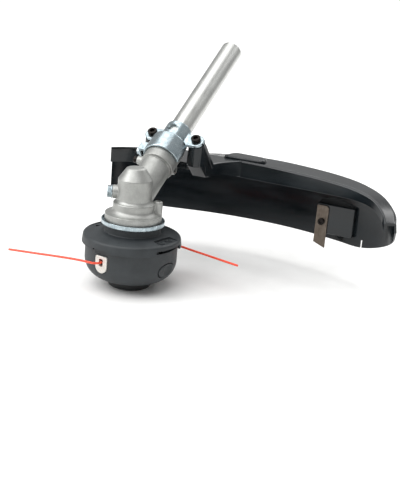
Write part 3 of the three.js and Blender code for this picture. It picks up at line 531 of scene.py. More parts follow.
# %% Plastic finishes
def moulded_nylon(name, light, dark, grain=0.9, low=0.5, high=0.62):
    """Spark-eroded grain about 0.9 mm across, coarser than real, over mottling at 14 mm."""
    material, tree, shader, place = begin(name, IOR=1.53)
    texture = noise(tree, place, grain, 3, 0.6)
    mottle = noise(tree, place, 14, 2)
    coloured(tree, shader, between(tree, mottle, 0, 1), light, dark)
    polished(tree, shader, texture, low, high)
    bumped(tree, shader, texture, 0.05, 0.3)
    return material


def guard_polypropylene():
    """Polished-mould gloss: slow waves at 45 mm, flow streaks at 16 mm and a faint skin at 2 mm."""
    material, tree, shader, place = begin("guard_polypropylene", IOR=1.49)
    flow = add(tree, "ShaderNodeMapping", {"Vector": place, "Scale": (0.35, 0.6, 1.6)}).outputs["Vector"]
    streak = noise(tree, flow, 16, 3)
    wave = noise(tree, place, 45, 1)
    skin_grain = noise(tree, place, 2, 2)
    coloured(tree, shader, between(tree, streak, 0, 1), "#0B1013", "#131A1E")
    polished(tree, shader, streak, 0.13, 0.24)
    slow = bumped(tree, shader, wave, 1.2, 0.3)
    bumped(tree, shader, skin_grain, 0.02, 0.25, slow)
    return material


def extruded_nylon():
    """Twisted line: a painted highlight makes the colour lighter along the corner that winds round it, and the
    flats between are painted darker.
    """
    material, tree, shader, place = begin("extruded_red_nylon", IOR=1.53, Subsurface_Weight=0.15)
    shader.inputs["Subsurface Radius"].default_value = (0.001, 0.0003, 0.0002)
    # painted highlight: each point's share of the ridge, stored on the mesh, lightens the red
    painted_ridge_highlight = add(tree, "ShaderNodeAttribute", attribute_name="painted_ridge_highlight").outputs["Fac"]
    grain = noise(tree, place, 1.5, 2)
    coloured(tree, shader, painted_ridge_highlight, "#E2412A", "#FF6244")
    polished(tree, shader, grain, 0.3, 0.42)
    return material


# %% Finish for each slot
finishes.update({
    "tube_aluminium": drawn_aluminium(),
    "cast_aluminium": die_cast_aluminium(),
    "zinc_steel": bright_zinc(),
    # turned and ground: the wheel leaves a fine even grain
    "bright_steel": grained("ground_steel", "#B9BABA", "#9C9E9F", 0.24, 0.38, 0.6, Metallic=1.0),
    # a dark conversion layer with oil left in its grain
    "black_steel": grained("black_oxide_steel", "#1E1C1B", "#2E2B29", 0.26, 0.42, 1.5, Metallic=1.0),
    "blade_steel": blade_strip(),
    "eyelet_steel": sintered_steel(),
    # pressed powder filled with oil, with dark pores
    "bush_bronze": grained("sintered_bronze", "#B08A50", "#8A6636", 0.35, 0.5, 0.7, 4, Metallic=1.0),
    "guard_plastic": guard_polypropylene(),
    "head_nylon": moulded_nylon("glass_filled_nylon", "#2A2F32", "#212629"),
    "knob_nylon": moulded_nylon("wear_resistant_nylon", "#1B1E1F", "#141718", low=0.42, high=0.55),
    "spool_nylon": moulded_nylon("spool_nylon", "#2B2E2F", "#232627"),
    # pressed and cured in a mould, dull all over
    "seal_rubber": grained("nitrile_rubber", "#191919", "#222222", 0.6, 0.75, 1.2, IOR=1.5),
    "line_nylon": extruded_nylon(),
})
for name, node in frame["nodes"].items():
    node.data.materials.clear()
    node.data.materials.append(finishes[slot_of[name]])
print(len(finishes), "finishes on", len(frame["nodes"]), "plain solids")

# %% [markdown]
# ## Cutting line
# Two strands of 2.4 mm line leave the head at opposite eyelets. The line is stiff, and keeps some of
# the curl that it had on the spool. Each strand is a round section carried along a smooth curve
# through a listed route, with a raised ridge that twists round it once every 9 mm.

# %% Line strands
LINE_R = 1.2
TWIST = 9.0                   # mm for one turn of the ridge
front_route = [
    (-7.1, -42.4, 34.6), (-7.7, -45.9, 34.6), (-8.2, -49.3, 34.7), (-8.7, -52.3, 34.9),
    (-9.8, -55.3, 35.2), (-11.7, -57.8, 35.6), (-14.2, -59.5, 36), (-17.4, -60.3, 36.3),
    (-25, -61.2, 36.6), (-36, -62.6, 36.6), (-47, -64, 36.3), (-58, -65.4, 35.9), (-70, -67, 35.4),
    (-82, -68.6, 34.9), (-94, -70.2, 34.5), (-107, -72, 34),
]
rear_route = [
    (7.1, 42.4, 34.6), (7.7, 45.9, 34.6), (8.2, 49.3, 34.6), (8.7, 52.3, 34.5),
    (9.8, 55.3, 34.4), (11.7, 57.8, 34.2), (14.2, 59.6, 33.9), (17.4, 60.6, 33.5),
    (25, 61.2, 32.6), (34, 61, 31.7), (45, 60, 30.8), (57, 58.4, 30.2), (70, 56.1, 29.8),
    (82, 53.4, 29.6), (94, 50.3, 29.6), (105.5, 47, 29.8),
]


def smooth_path(route, steps, power=0.5):
    """A Catmull-Rom curve through the points: each stretch is a blend of blends of its four nearest
    points, with knots apart by the distance between them to this power."""
    points = np.asarray(route, float)
    first = 2 * points[0] - points[1]
    last = 2 * points[-1] - points[-2]
    padded = np.vstack([first, points, last])
    gap = np.linalg.norm(np.diff(padded, axis=0), axis=1) ** power
    share = np.linspace(0, len(points) - 1, steps)
    at = np.minimum(share.astype(int), len(points) - 2)
    local = (share - at)[:, None]
    p0, p1, p2, p3 = padded[at], padded[at + 1], padded[at + 2], padded[at + 3]
    g0, g1, g2 = gap[at][:, None], gap[at + 1][:, None], gap[at + 2][:, None]
    slope1 = ((p1 - p0) / g0 - (p2 - p0) / (g0 + g1) + (p2 - p1) / g1) * g1
    slope2 = ((p2 - p1) / g1 - (p3 - p1) / (g1 + g2) + (p3 - p2) / g2) * g1
    cubic = 2 * p1 - 2 * p2 + slope1 + slope2
    square = -3 * p1 + 3 * p2 - 2 * slope1 - slope2
    return cubic * local ** 3 + square * local ** 2 + slope1 * local + p1


def carried(path, section_radius, around=16):
    """A round section of radius r(a, s) carried along a path: p + r (cos a N + sin a B)."""
    ahead = np.gradient(path, axis=0)
    ahead /= np.linalg.norm(ahead, axis=1)[:, None]
    beside = np.cross(ahead, (0, 0, 1))
    beside /= np.linalg.norm(beside, axis=1)[:, None]
    over = np.cross(beside, ahead)
    angle = np.linspace(0, 2 * math.pi, around, endpoint=False)
    radius = section_radius(angle[None, :])
    return path[:, None] + radius[..., None] * (np.cos(angle)[None, :, None] * beside[:, None]
                                                + np.sin(angle)[None, :, None] * over[:, None])


def strand(name, route, node):
    path = smooth_path(route, 150)
    run = np.concatenate([[0], np.cumsum(np.linalg.norm(np.diff(path, axis=0), axis=1))])
    phase = run[:, None] / TWIST * 2 * math.pi
    ridge = lambda angle: (1 + np.cos(2 * (angle - phase))) / 2
    grid = carried(path, lambda angle: LINE_R * (0.97 + 0.06 * ridge(angle)))
    thing = piece(name, skin(grid), sharp=60)
    angle = np.linspace(0, 2 * math.pi, 16, endpoint=False)[None, :]
    # each point's share of the ridge, which the finish uses to paint a highlight along it
    painted_ridge_highlight = thing.data.attributes.new("painted_ridge_highlight", "FLOAT", "POINT")
    painted_ridge_highlight.data.foreach_set("value", ridge(angle).astype(np.float32).ravel()[:len(thing.data.vertices)])
    settle(thing, node, even=False)
    print(name, "length", round(run[-1], 1), "mm")
    return thing


for end, route in (("front", front_route), ("rear", rear_route)):
    strand(f"line_{end}", route, f"line_strand_{end}")

# %% [markdown]
# ## Studio
# A plain pale floor and large soft lights. The big light overhead and behind lights the guard's deck,
# the one in front on the left models the round castings, and the world fills the rest evenly.

# %% Floor and lights
def plain_floor():
    """A pale floor with a very slight mottle at 30 mm, so that it isn't one flat value."""
    material, tree, shader, place = begin("pale_floor", Roughness=0.9)
    cloud = noise(tree, place, 30, 2)
    coloured(tree, shader, between(tree, cloud, 0, 1), "#F7F7F6", "#F2F2F1")
    return material


FLOOR_R = 9.0
ring = np.linspace(0, 2 * math.pi, 96, endpoint=False)
floor_mesh = bpy.data.meshes.new("floor")
floor_points = np.column_stack([FLOOR_R * np.cos(ring), FLOOR_R * np.sin(ring), np.full(96, -0.0003)])
floor_mesh.from_pydata(floor_points.tolist(), [], [list(range(96))])
floor = bpy.data.objects.new("floor", floor_mesh)
floor.data.materials.append(plain_floor())
bpy.context.scene.collection.objects.link(floor)


def soft_light(name, place, aim, size, watts, colour="#FFFFFF"):
    lamp = bpy.data.lights.new(name, "AREA")
    lamp.shape = "RECTANGLE"
    lamp.size, lamp.size_y = size
    lamp.energy = watts
    lamp.color = linear(colour)[:3]
    thing = bpy.data.objects.new(name, lamp)
    towards = Vector(aim) - Vector(place)
    thing.matrix_world = Matrix.Translation(place) @ towards.to_track_quat("-Z", "Y").to_matrix().to_4x4()
    bpy.context.scene.collection.objects.link(thing)
    return thing


soft_light("front_left", (-1.2, -1.0, 1.0), (0.0, 0.0, 0.08), (0.9, 1.1), 12)
soft_light("behind", (0.3, 1.7, 1.5), (0.1, 0.1, 0.1), (2.0, 0.9), 16)
sky = bpy.data.lights.new("sky_panel", "SUN")
sky.energy = 2.6
sky.angle = math.radians(75)
sky_panel = bpy.data.objects.new("sky_panel", sky)
sky_panel.matrix_world = Vector((0.25, 0.3, -1)).to_track_quat("-Z", "Y").to_matrix().to_4x4()
bpy.context.scene.collection.objects.link(sky_panel)
world = bpy.data.worlds.new("studio")
world.use_nodes = True
world.node_tree.nodes["Background"].inputs["Color"].default_value = linear("#FFFFFF")
world.node_tree.nodes["Background"].inputs["Strength"].default_value = 0.45
bpy.context.scene.world = world
bpy.context.scene.view_settings.view_transform = "Standard"
print("lights and floor ready")

# %% [markdown]
# ## Shaft tube
# One inch drawn aluminium tube. It could be a cylinder with a wall, but a ring-shaped profile carried
# round the shaft axis gives the same thing with its ends slightly broken, as a saw and a file leave them.

# %% Shaft tube
TUBE_R = 12.7
TUBE_BORE = 11.2
TUBE_START, TUBE_END = 48, 268
tube_profile = corners_rounded([[TUBE_BORE, TUBE_START], [TUBE_R, TUBE_START], [TUBE_R, TUBE_END],
                                [TUBE_BORE, TUBE_END]], 0.35)
settle(piece("drawn_shaft_tube", revolved(tube_profile, SHAFT)), "shaft_tube")

# %% [markdown]
# ## Gear case
# A die casting: a round tower over the spindle with a coned top, two machined steps and a flare at
# its foot, and a neck that runs up the shaft. Small bosses carry the grease plug, the lock pin and
# the locating screw, and two lugs below the neck pinch it on the tube. The forms are melted into one
# skin for the cast fillets, and only then bored, because drilled holes keep their sharp rims.

# %% Gear case sizes
CASE_FOOT = 70.6
CASE_FOOT_R = 30.4
CASE_STEP_R = 22.3
CASE_R = 18.4
CASE_TOP = 128.4
NECK_R = 16.5
FLANGE_R = 18.6
FLANGE_START, NECK_END = 54, 88
PLUG_TURN, PLUG_Z = 208, 101
PLUG_BOSS_END = CASE_R + 5
PIN_TURN, PIN_R = 28, 25.2
LOCATOR_AT, LOCATOR_FACE = 59, 25
LUG_AT, LUG_DOWN = 78, 24.5
LUG_HALF, LUG_R = 7, 6
PLUG_BOSS_R, PIN_BOSS_R, LOCATOR_BOSS_R = 7.2, 5.2, 5
PLUG_BORE, PIN_BORE, LUG_BORE, LOCATOR_BORE = 4.3, 2, 2.9, 2.5
PIN_FROM, PIN_TO = 79, 93.5
SLIT_HALF = 1.2               # half the width of the pinch slit
GAP = 0.3                     # between pieces that touch
CLEAN = 0.05                  # the rounding of a drilled or punched tool's own rim


def polar(radius, degrees):
    return radius * math.cos(math.radians(degrees)), radius * math.sin(math.radians(degrees))


def tower():
    """The flare between the two steps is a quarter ellipse: r falls by sin a while z falls by cos a."""
    angle = np.linspace(0, math.pi / 2, 12)
    flare = np.column_stack([CASE_FOOT_R - (CASE_FOOT_R - CASE_STEP_R) * np.sin(angle),
                             84.7 - 5.5 * np.cos(angle)])
    low = [[0, CASE_FOOT], [CASE_FOOT_R, CASE_FOOT]]
    high = [[CASE_STEP_R, 90.2], [CASE_STEP_R - 0.7, 91], [CASE_R + 1.6, 91.3], [CASE_R, 93.6],
            [CASE_R, 115.8], [10.2, CASE_TOP - 0.9], [8.2, CASE_TOP], [0, CASE_TOP]]
    return revolved(np.vstack([low, flare, high]), around=128)


def neck():
    profile = [[0, 0], [NECK_R, 0], [NECK_R, FLANGE_START - 1.6], [NECK_R - 0.9, FLANGE_START - 1],
               [NECK_R - 0.9, FLANGE_START - 0.1], [FLANGE_R, FLANGE_START + 0.4], [FLANGE_R, NECK_END - 0.8],
               [FLANGE_R - 0.8, NECK_END], [0, NECK_END]]
    return revolved(profile, SHAFT, around=128)


def case_bosses():
    pin = shift(*polar(PIN_R, PIN_TURN), 0)
    plug = rod(PLUG_BOSS_R, 5, PLUG_BOSS_END, outward(PLUG_TURN, PLUG_Z), edge=0.8)
    lock = rod(PIN_BOSS_R, PIN_FROM, PIN_TO, pin, edge=3)
    locator = rod(LOCATOR_BOSS_R, -LOCATOR_FACE, -10, across_shaft(LOCATOR_AT, 0), edge=0.8)
    lug_round = rod(LUG_R, -LUG_HALF, LUG_HALF, across_shaft(LUG_AT, -LUG_DOWN), edge=0.8)
    lug_web = block([-LUG_HALF, 10, LUG_AT - LUG_R], [LUG_HALF, LUG_DOWN, LUG_AT + LUG_R], SHAFT, edge=0.6)
    return plug, lock, locator, lug_round, lug_web


# %% Gear case
casting = piece("gear_case_casting", tower(), neck(), *case_bosses())
melted(casting, 0.5, 4, keep=0.5)
spindle_hollow = revolved([[0, 60], [16.3, 60], [16.3, 86.3], [15.1, 86.3], [15.1, 113.3], [11.3, 113.3],
                           [11.3, 120.9], [0, 120.9]], around=72)
shaft_hollow = revolved([[0, 8], [11.6, 8], [11.6, 26.7], [12.3, 26.7], [12.3, 47.7], [13, 47.7],
                         [13, 95], [0, 95]], SHAFT, around=72)
split = moved(block([-SLIT_HALF, 0, FLANGE_START + 8], [SLIT_HALF, 45, NECK_END + 6], edge=0.1), SHAFT)
holes = (
    rod(PLUG_BORE, 0, 40, outward(PLUG_TURN, PLUG_Z), edge=CLEAN),
    rod(PIN_BORE, 60, 110, shift(*polar(PIN_R + 1, PIN_TURN), 0), edge=CLEAN),
    rod(LUG_BORE, -20, 20, across_shaft(LUG_AT, -LUG_DOWN), edge=CLEAN),
    rod(LOCATOR_BORE, -40, 0, across_shaft(LOCATOR_AT, 0), edge=CLEAN),
)
without(casting, spindle_hollow, shaft_hollow, split, *holes, sharp=38)
settle(casting, "gear_case")

# %% [markdown]
# ## Clamp strap
# A strip of zinc-plated steel pressed into a half shell: wide over the neck's flange, narrow over the
# tube, with an ear each side that is screwed down on the guard, and a small tab at its lower left.
# It could be solidified from a sheet, but the ears, cone and tab meet in soft press radii, so it is
# melted from overlapping forms like the casting, and its window and holes are punched afterwards.

# %% Clamp strap
STRAP_WALL = 2.6
STRAP_FROM = 65.5
WIDE_R, NARROW_R = FLANGE_R + GAP, TUBE_R + GAP
WIDE_END = NECK_END + GAP
NARROW_FROM, NARROW_END = NECK_END + 3.5, NECK_END + 27
EAR_X = (28.4, -25.6)
EAR_AT = 100
EAR_UP, EAR_THICK, EAR_R = 0.6, 4, 9
TAB_X, TAB_AT = -27, 74
TAB_HALF, TAB_LENGTH_HALF = 1.5, 6
TAB_HOLE = 2.8
CLAMP_HOLE = 3.2


def half_shell():
    profile = corners_rounded([
        [WIDE_R, STRAP_FROM], [WIDE_R, WIDE_END], [NARROW_R, NARROW_FROM], [NARROW_R, NARROW_END],
        [NARROW_R + STRAP_WALL, NARROW_END], [NARROW_R + STRAP_WALL, NARROW_FROM + 1.5],
        [WIDE_R + STRAP_WALL, WIDE_END + 1.5], [WIDE_R + STRAP_WALL, STRAP_FROM]], 0.9)
    return revolved(profile, SHAFT, around=72, start=-178, sweep=176)


def ear(x):
    """A flat pad: half a circle of EAR_R round the screw, and straight sides in to the shell."""
    away = math.copysign(1, x)
    angle = np.radians(np.linspace(-90, 90, 25))
    tip = np.column_stack([x + away * EAR_R * np.cos(angle), EAR_R * np.sin(angle)])
    outline = np.vstack([[[away * 14, -EAR_R]], tip, [[away * 14, EAR_R]]])
    return slab(outline, EAR_UP, EAR_UP + EAR_THICK, above_shaft(0, EAR_AT), edge=0.9)


def lower_tab():
    low, high = TAB_AT - TAB_LENGTH_HALF, TAB_AT + TAB_LENGTH_HALF
    plate = corners_rounded([[-9, low], [5, low], [5, high], [-9, high]], 3)
    bridge = block([TAB_X - TAB_HALF, -9, low], [-16, -5.4, high], SHAFT, edge=0.8)
    return slab(plate, TAB_X - TAB_HALF, TAB_X + TAB_HALF, SHAFT @ SIDEWAYS, edge=0.6), bridge


strap = piece("pressed_clamp_strap", half_shell(), ear(EAR_X[0]), ear(EAR_X[1]), *lower_tab())
melted(strap, 0.45, 3, keep=0.6)
bore = revolved([[0, 40], [WIDE_R, 40], [WIDE_R, WIDE_END], [NARROW_R, NARROW_FROM], [NARROW_R, 160],
                 [0, 160]], SHAFT, around=96)
window = slab(ellipse(6.5, 5.2, centre=(0, 4)), 5, 40, above_shaft(0, EAR_AT), edge=CLEAN)
punched = [rod(CLAMP_HOLE, -5, 12, above_shaft(x, EAR_AT), edge=CLEAN) for x in EAR_X]
tab_hole = rod(TAB_HOLE, -40, -20, across_shaft(TAB_AT, 0), edge=CLEAN)
without(strap, bore, window, *punched, tab_hole, sharp=38)
settle(strap, "clamp_strap")

# %% [markdown]
# ## Screws
# The clamp, blade and case screws are socket-headed cap screws, and the grease plug is a hexagon head
# with a flange. A head is a turned profile with its hexagon socket cut in from above.

# %% Screws
def cap_screw(name, node, matrix, shank, length, head, height):
    """Shank down local -Z, the underside of the head at zero."""
    profile = corners_rounded([[0, -length], [shank - 0.4, -length], [shank, -length + 0.6], [shank, 0],
                               [head, 0], [head, height], [0, height]], [0, 0.2, 0.2, 0.15, 0.25, 0.8, 0])
    screw = piece(name, revolved(profile, matrix, around=48))
    socket = slab(hexagon(head * 0.58, 0.1), height * 0.42, height + 3, matrix, edge=0.02)
    return settle(without(screw, socket), node)


ear_top = EAR_UP + EAR_THICK + GAP
for side, ear_x in zip(("right", "left"), EAR_X):
    cap_screw(f"clamp_screw_head_{side}", f"clamp_screw_{side}",
              above_shaft(ear_x, EAR_AT) @ shift(0, 0, ear_top), 2.9, 26, 5.4, 3.8)
over = spin(180, "X")
cap_screw("locating_cap_screw", "locating_screw",
          across_shaft(LOCATOR_AT, 0) @ shift(0, 0, -LOCATOR_FACE - GAP) @ over, 2.2, 14, 3.8, 4.5)
cap_screw("pinch_cap_screw", "pinch_bolt",
          across_shaft(LUG_AT, -LUG_DOWN) @ shift(0, 0, -LUG_HALF - GAP) @ over, 2.6, 12.5, 4.3, 4.6)

# %% Grease plug, tab bolt and nut
plug_seat = outward(PLUG_TURN, PLUG_Z) @ shift(0, 0, PLUG_BOSS_END + GAP)
plug = piece("grease_filler_plug", rod(4, -8, 0.6, plug_seat, edge=0.5),
             rod(7.1, 0, 1.1, plug_seat, edge=0.35), slab(hexagon(6.6, 0.5), 0.5, 5.2, plug_seat, edge=0.7))
settle(plug, "grease_plug")
tab_seat = across_shaft(TAB_AT, 0)
tab_bolt = piece("strap_tab_screw", rod(2.5, TAB_X - 8, TAB_X + 2.5, tab_seat, edge=0.3),
                 rod(4, TAB_X + 1.8, TAB_X + 4, tab_seat, edge=0.5))
settle(tab_bolt, "strap_tab_bolt")
tab_nut = piece("strap_tab_hexagon_nut",
                slab(hexagon(4.6, 0.3), TAB_X - 5.3, TAB_X - 1.8, tab_seat, edge=0.5))
settle(without(tab_nut, rod(2.8, TAB_X - 9, TAB_X, tab_seat, edge=0.02)), "strap_tab_nut")

# %% [markdown]
# ## Receiver washer
# A shallow pressed cup between the gear case and the head, which keeps grass from winding in. Its
# rim stands up round the case's foot. A closed profile carried round the spindle gives it in one go.

# %% Receiver washer
WASHER_R, WASHER_Z = 33.9, 67.6
WASHER_WALL, WASHER_RIM = 1.6, 4.9
washer_profile = corners_rounded([
    [5.3, WASHER_Z], [WASHER_R, WASHER_Z], [WASHER_R, WASHER_Z + WASHER_RIM],
    [WASHER_R - 1.5, WASHER_Z + WASHER_RIM], [WASHER_R - 1.5, WASHER_Z + WASHER_WALL],
    [5.3, WASHER_Z + WASHER_WALL],
], [0.2, 1.2, 0.6, 0.6, 0.8, 0.2])
settle(piece("pressed_receiver_washer", revolved(washer_profile, around=128)), "receiver_washer")

# %% [markdown]
# ## Head lid
# The upper half of the head is moulded nylon: a collar under the washer, a shallow cone, a rounded
# shoulder and a skirt that overhangs the lower half. At each latch the skirt is notched, and the cone
# has a sunk field with two raised chevrons that show which way the halves come apart. Over each
# eyelet the skirt is relieved for the line.

# %% Head lid
THREAD_BORE = 5.3
LID_R, LID_TOP, LID_EDGE, LID_SKIRT = 53.4, 67.2, 56.2, 46.7
COLLAR_R, ARBOR_R, ARBOR_BOTTOM = 30, 11, 34
SPRING_CEILING = LID_TOP - 3.2
LATCH_TURN = -10
NOTCH_HALF, NOTCH_TOP = 20, 51.6
FIELD_FLOOR = 55.9
EYELET_TURN = -99.5
HALVES = (0, 180)
lid_points = [
    [THREAD_BORE, LID_TOP], [COLLAR_R, LID_TOP], [COLLAR_R, 59.4], [34.5, 58.9], [LID_R - 1.2, LID_EDGE],
    [LID_R, LID_SKIRT], [LID_R - 3, LID_SKIRT], [LID_R - 3, 53], [27, 54.5], [26, SPRING_CEILING],
    [ARBOR_R, SPRING_CEILING], [ARBOR_R, ARBOR_BOTTOM], [THREAD_BORE, ARBOR_BOTTOM],
]
lid_rounds = [0.3, 0.8, 1.2, 3, 2.6, 0.5, 0.5, 0.8, 0.5, 0.5, 0.5, 0.5, 0.3]
lid = piece("moulded_head_lid", revolved(corners_rounded(lid_points, lid_rounds, 6), around=160))
insert_pocket = slab(hexagon(7.9, 0.2), ARBOR_BOTTOM - 1, 60, edge=0.02)
notches = [block([LID_R - 9, -NOTCH_HALF, LID_SKIRT - 4], [LID_R + 5, NOTCH_HALF, NOTCH_TOP],
                 spin(LATCH_TURN + half, "Z"), edge=1.2) for half in HALVES]
field = corners_rounded([[37, -11], [49.2, -13], [49.2, 18], [37, 16]], 1.2)
fields = [slab(field, FIELD_FLOOR, 66, spin(LATCH_TURN + half, "Z"), edge=0.2) for half in HALVES]
line_reliefs = [block([LID_R - 6, -10, LID_SKIRT - 3], [LID_R + 5, 8, 48.8],
                      spin(EYELET_TURN + half, "Z"), edge=0.8) for half in HALVES]
without(lid, insert_pocket, *notches, *fields, *line_reliefs)


def chevron(offset, half):
    """An arrow of two arms across the sunk field, 1 mm proud of the field's floor."""
    outline = corners_rounded([[39, offset - 4.4], [43.4, offset], [39, offset + 4.4], [42, offset + 4.4],
                               [46.6, offset], [42, offset - 4.4]], 0.3)
    return slab(outline, FIELD_FLOOR - 0.4, FIELD_FLOOR + 1, spin(LATCH_TURN + half, "Z"), edge=0.25)


with_also(lid, *[chevron(offset, half) for half in HALVES for offset in (-4, 9)])
settle(lid, "head_lid")

# %% [markdown]
# ## Head body
# The lower half is a bowl: an upright wall that turns in along a quarter ellipse to the knob's
# opening. The eyelets sit in slots through its wall, under a small brow, and the latch buttons fill
# two oval openings.

# %% Head body
BODY_R, BODY_WALL, BODY_BOTTOM, BODY_TOP = 49.5, 2.4, 8, 52
BOWL_START = 30
BOWL_MOUTH = 24.9
EYELET_Z = 34.5
EYELET_WIDTH = 15
LATCH_Z = 26.5
LATCH_TIP = 10
LATCH_HALF = (12.5, 7.6)
LATCH_DEPTH = 4.9
DISH_R, DISH_DEPTH = 16, 2.4


def bowl(grow, steps=28):
    """(27 + a cos t, 30 - b sin t) for t from 0 to a right angle, grown outwards by grow."""
    angle = np.linspace(0, math.pi / 2, steps)
    return np.column_stack([27 + (BODY_R - 27 + grow) * np.cos(angle),
                            BOWL_START - (BOWL_START - BODY_BOTTOM + grow) * np.sin(angle)])


def eyelet_outline(grow):
    """A U: straight sides and a half round foot, grown by grow all round."""
    half = EYELET_WIDTH / 2 + grow
    low = EYELET_Z - 11.5 + EYELET_WIDTH / 2
    angle = np.linspace(math.pi, 2 * math.pi, 25)
    foot = np.column_stack([half * np.cos(angle), low + half * np.sin(angle)])
    high = EYELET_Z + 7 + grow
    head = [[half, high - 1.2], [half - 1.2, high], [-half + 1.2, high], [-half, high - 1.2]]
    return np.vstack([head, foot])


latch_height = LATCH_Z + BODY_R * math.tan(math.radians(LATCH_TIP))
latch_reach = BODY_R / math.cos(math.radians(LATCH_TIP))


def at_latch(half):
    return outward(LATCH_TURN + half, latch_height, LATCH_TIP)


inner_bowl = bowl(-BODY_WALL)[::-1]
body_points = np.vstack([[[BODY_R - 0.6, BODY_TOP], [BODY_R, BODY_TOP - 0.6]], bowl(0),
                         [[BOWL_MOUTH, BODY_BOTTOM], [BOWL_MOUTH, BODY_BOTTOM + BODY_WALL]], inner_bowl,
                         [[BODY_R - BODY_WALL, BODY_TOP]]])
shell = piece("moulded_head_body", revolved(body_points, around=160))
rest = revolved([[27.2, BODY_BOTTOM + 1], [30, BODY_BOTTOM + 1], [30, 16.7], [27.2, 16.7]], around=96)
with_also(shell, rest)
eyelet_slots = [slab(eyelet_outline(GAP), 30, 60, facing(EYELET_TURN + half), edge=0.02) for half in HALVES]
brow = corners_rounded([[-9.5, 42.5], [9.5, 42.5], [9.5, 45.6], [-9.5, 45.6]], 1.2)
brows = [slab(brow, BODY_R - 0.9, 60, facing(EYELET_TURN + half), edge=0.1) for half in HALVES]
latch_openings = [slab(ellipse(LATCH_HALF[1] + 1, LATCH_HALF[0] + 1), 35, 60, at_latch(half), edge=0.02)
                  for half in HALVES]
dark_slots = [block([BODY_R - 4, -19, 47.4], [BODY_R + 5, 19, 51.2], spin(LATCH_TURN + half, "Z"), edge=0.6)
              for half in HALVES]
without(shell, *eyelet_slots, *brows, *latch_openings, *dark_slots)
settle(shell, "head_body")

# %% [markdown]
# ## Eyelets, latches and knob
# The eyelets are sintered guides that the line saws against, so they are metal and can be turned when
# worn. The latch buttons follow the bowl, and each is dished for a thumb, which leaves a crescent lip
# at its lower edge. The knob is one turned shape, smoother and darker than the rest because it wears.

# %% Eyelets
def eyelet(name, half, node):
    matrix = facing(EYELET_TURN + half)
    thing = piece(name, slab(eyelet_outline(0), BODY_R - 5.4, BODY_R + 0.7, matrix, edge=0.7, steps=5))
    slot_outline = corners_rounded([[-2.6, EYELET_Z - 4.2], [2.6, EYELET_Z - 4.2], [2.6, EYELET_Z + 4.2],
                                    [-2.6, EYELET_Z + 4.2]], 2)
    without(thing, slab(slot_outline, 30, 60, matrix, edge=0.02))
    return settle(thing, node)


for side, half in zip(("front", "rear"), HALVES):
    eyelet(f"sintered_eyelet_{side}", half, f"eyelet_{side}")


# %% Latches
def latch(name, half, node):
    """An oval plate kept to the bowl's curve, with a ball's dish taken out of its face."""
    matrix = at_latch(half)
    oval = ellipse(LATCH_HALF[1], LATCH_HALF[0], 96)
    thing = piece(name, slab(oval, latch_reach - LATCH_DEPTH, latch_reach + 5, matrix, edge=0.05))
    grown = np.vstack([[[0, BODY_TOP], [BODY_R + 0.5, BODY_TOP]], bowl(0.5), [[0, BODY_BOTTOM - 0.5]]])
    only_inside(thing, revolved(grown, around=160))
    angle = np.linspace(-math.pi / 2, math.pi / 2, 40)
    ball = np.column_stack([DISH_R * np.cos(angle), DISH_R * np.sin(angle)])
    without(thing, revolved(ball, matrix @ shift(-1.2, 1.6, latch_reach + DISH_R - DISH_DEPTH), around=96))
    arm = block([BODY_R - 6.3, -5, LATCH_Z + 1], [BODY_R - 3.3, 5, 49.6], spin(LATCH_TURN + half, "Z"),
                edge=0.5)
    return settle(with_also(thing, arm), node)


for side, half in zip(("right", "left"), HALVES):
    latch(f"latch_button_{side}", half, f"latch_{side}")

# %% Bump knob
KNOB_R = 23.8
knob_points = [[0, -DROP], [KNOB_R - 4.5, -DROP], [KNOB_R - 0.9, 0.6 - DROP], [KNOB_R, 5.5 - DROP],
               [KNOB_R, 12.6], [17, 12.6], [17, 16.7], [14, 16.7], [14, 4], [0, 4]]
knob_rounds = [0, 2, 2.4, 3, 0.6, 0.3, 0.3, 0.3, 0.6, 0]
knob_profile = corners_rounded(knob_points, knob_rounds, 6)
settle(piece("moulded_bump_knob", revolved(knob_profile, around=128)), "bump_knob")

# %% [markdown]
# ## Guard
# One big injection moulding behind the head. Its section is an upside-down channel: an outer wall
# that the cut grass is thrown against, a deck, and a front lip. The section changes along a curved
# run, from the short left side to an end that curls round on the right. A subdivision cage would
# need many hand-placed points, so the section is a formula, and its few sizes follow smooth curves.

# %% Guard run
GUARD_WALL = 2.8
GUARD_TOP = 120
# wall x, y, height of its lower edge, height of the deck, lip x, y, its lower edge, its top
GUARD_ROWS = [
    (-108, 139, 60, 107, -91, 105, 101, 119),
    (-90, 153, 43, 107, -77, 121, 101, 119),
    (-45, 175, 40, 110, -42, 139, 101, 120),
    (15, 190, 40, 117, 15, 147, 101, 120),
    (77, 196, 40, 120, 77, 149, 100.5, 120),
    (130, 191.5, 40, 119.5, 128, 143.5, 101.5, 119.5),
    (175, 180, 40, 118.5, 172, 135.5, 103, 118.5),
    (205, 168, 41, 116, 202, 127, 104, 116.5),
    (231, 152, 50, 110.5, 226, 116, 101, 111.5),
    (250, 132, 64, 101, 240, 106, 92, 101.5),
    (257, 110, 82, 93, 245, 98, 84, 93.5),
]


def along_rows(columns, stations):
    """Three of the table's columns as one smooth curve, the same way that the strands run."""
    return smooth_path([[row[column] for column in columns] for row in GUARD_ROWS], stations)


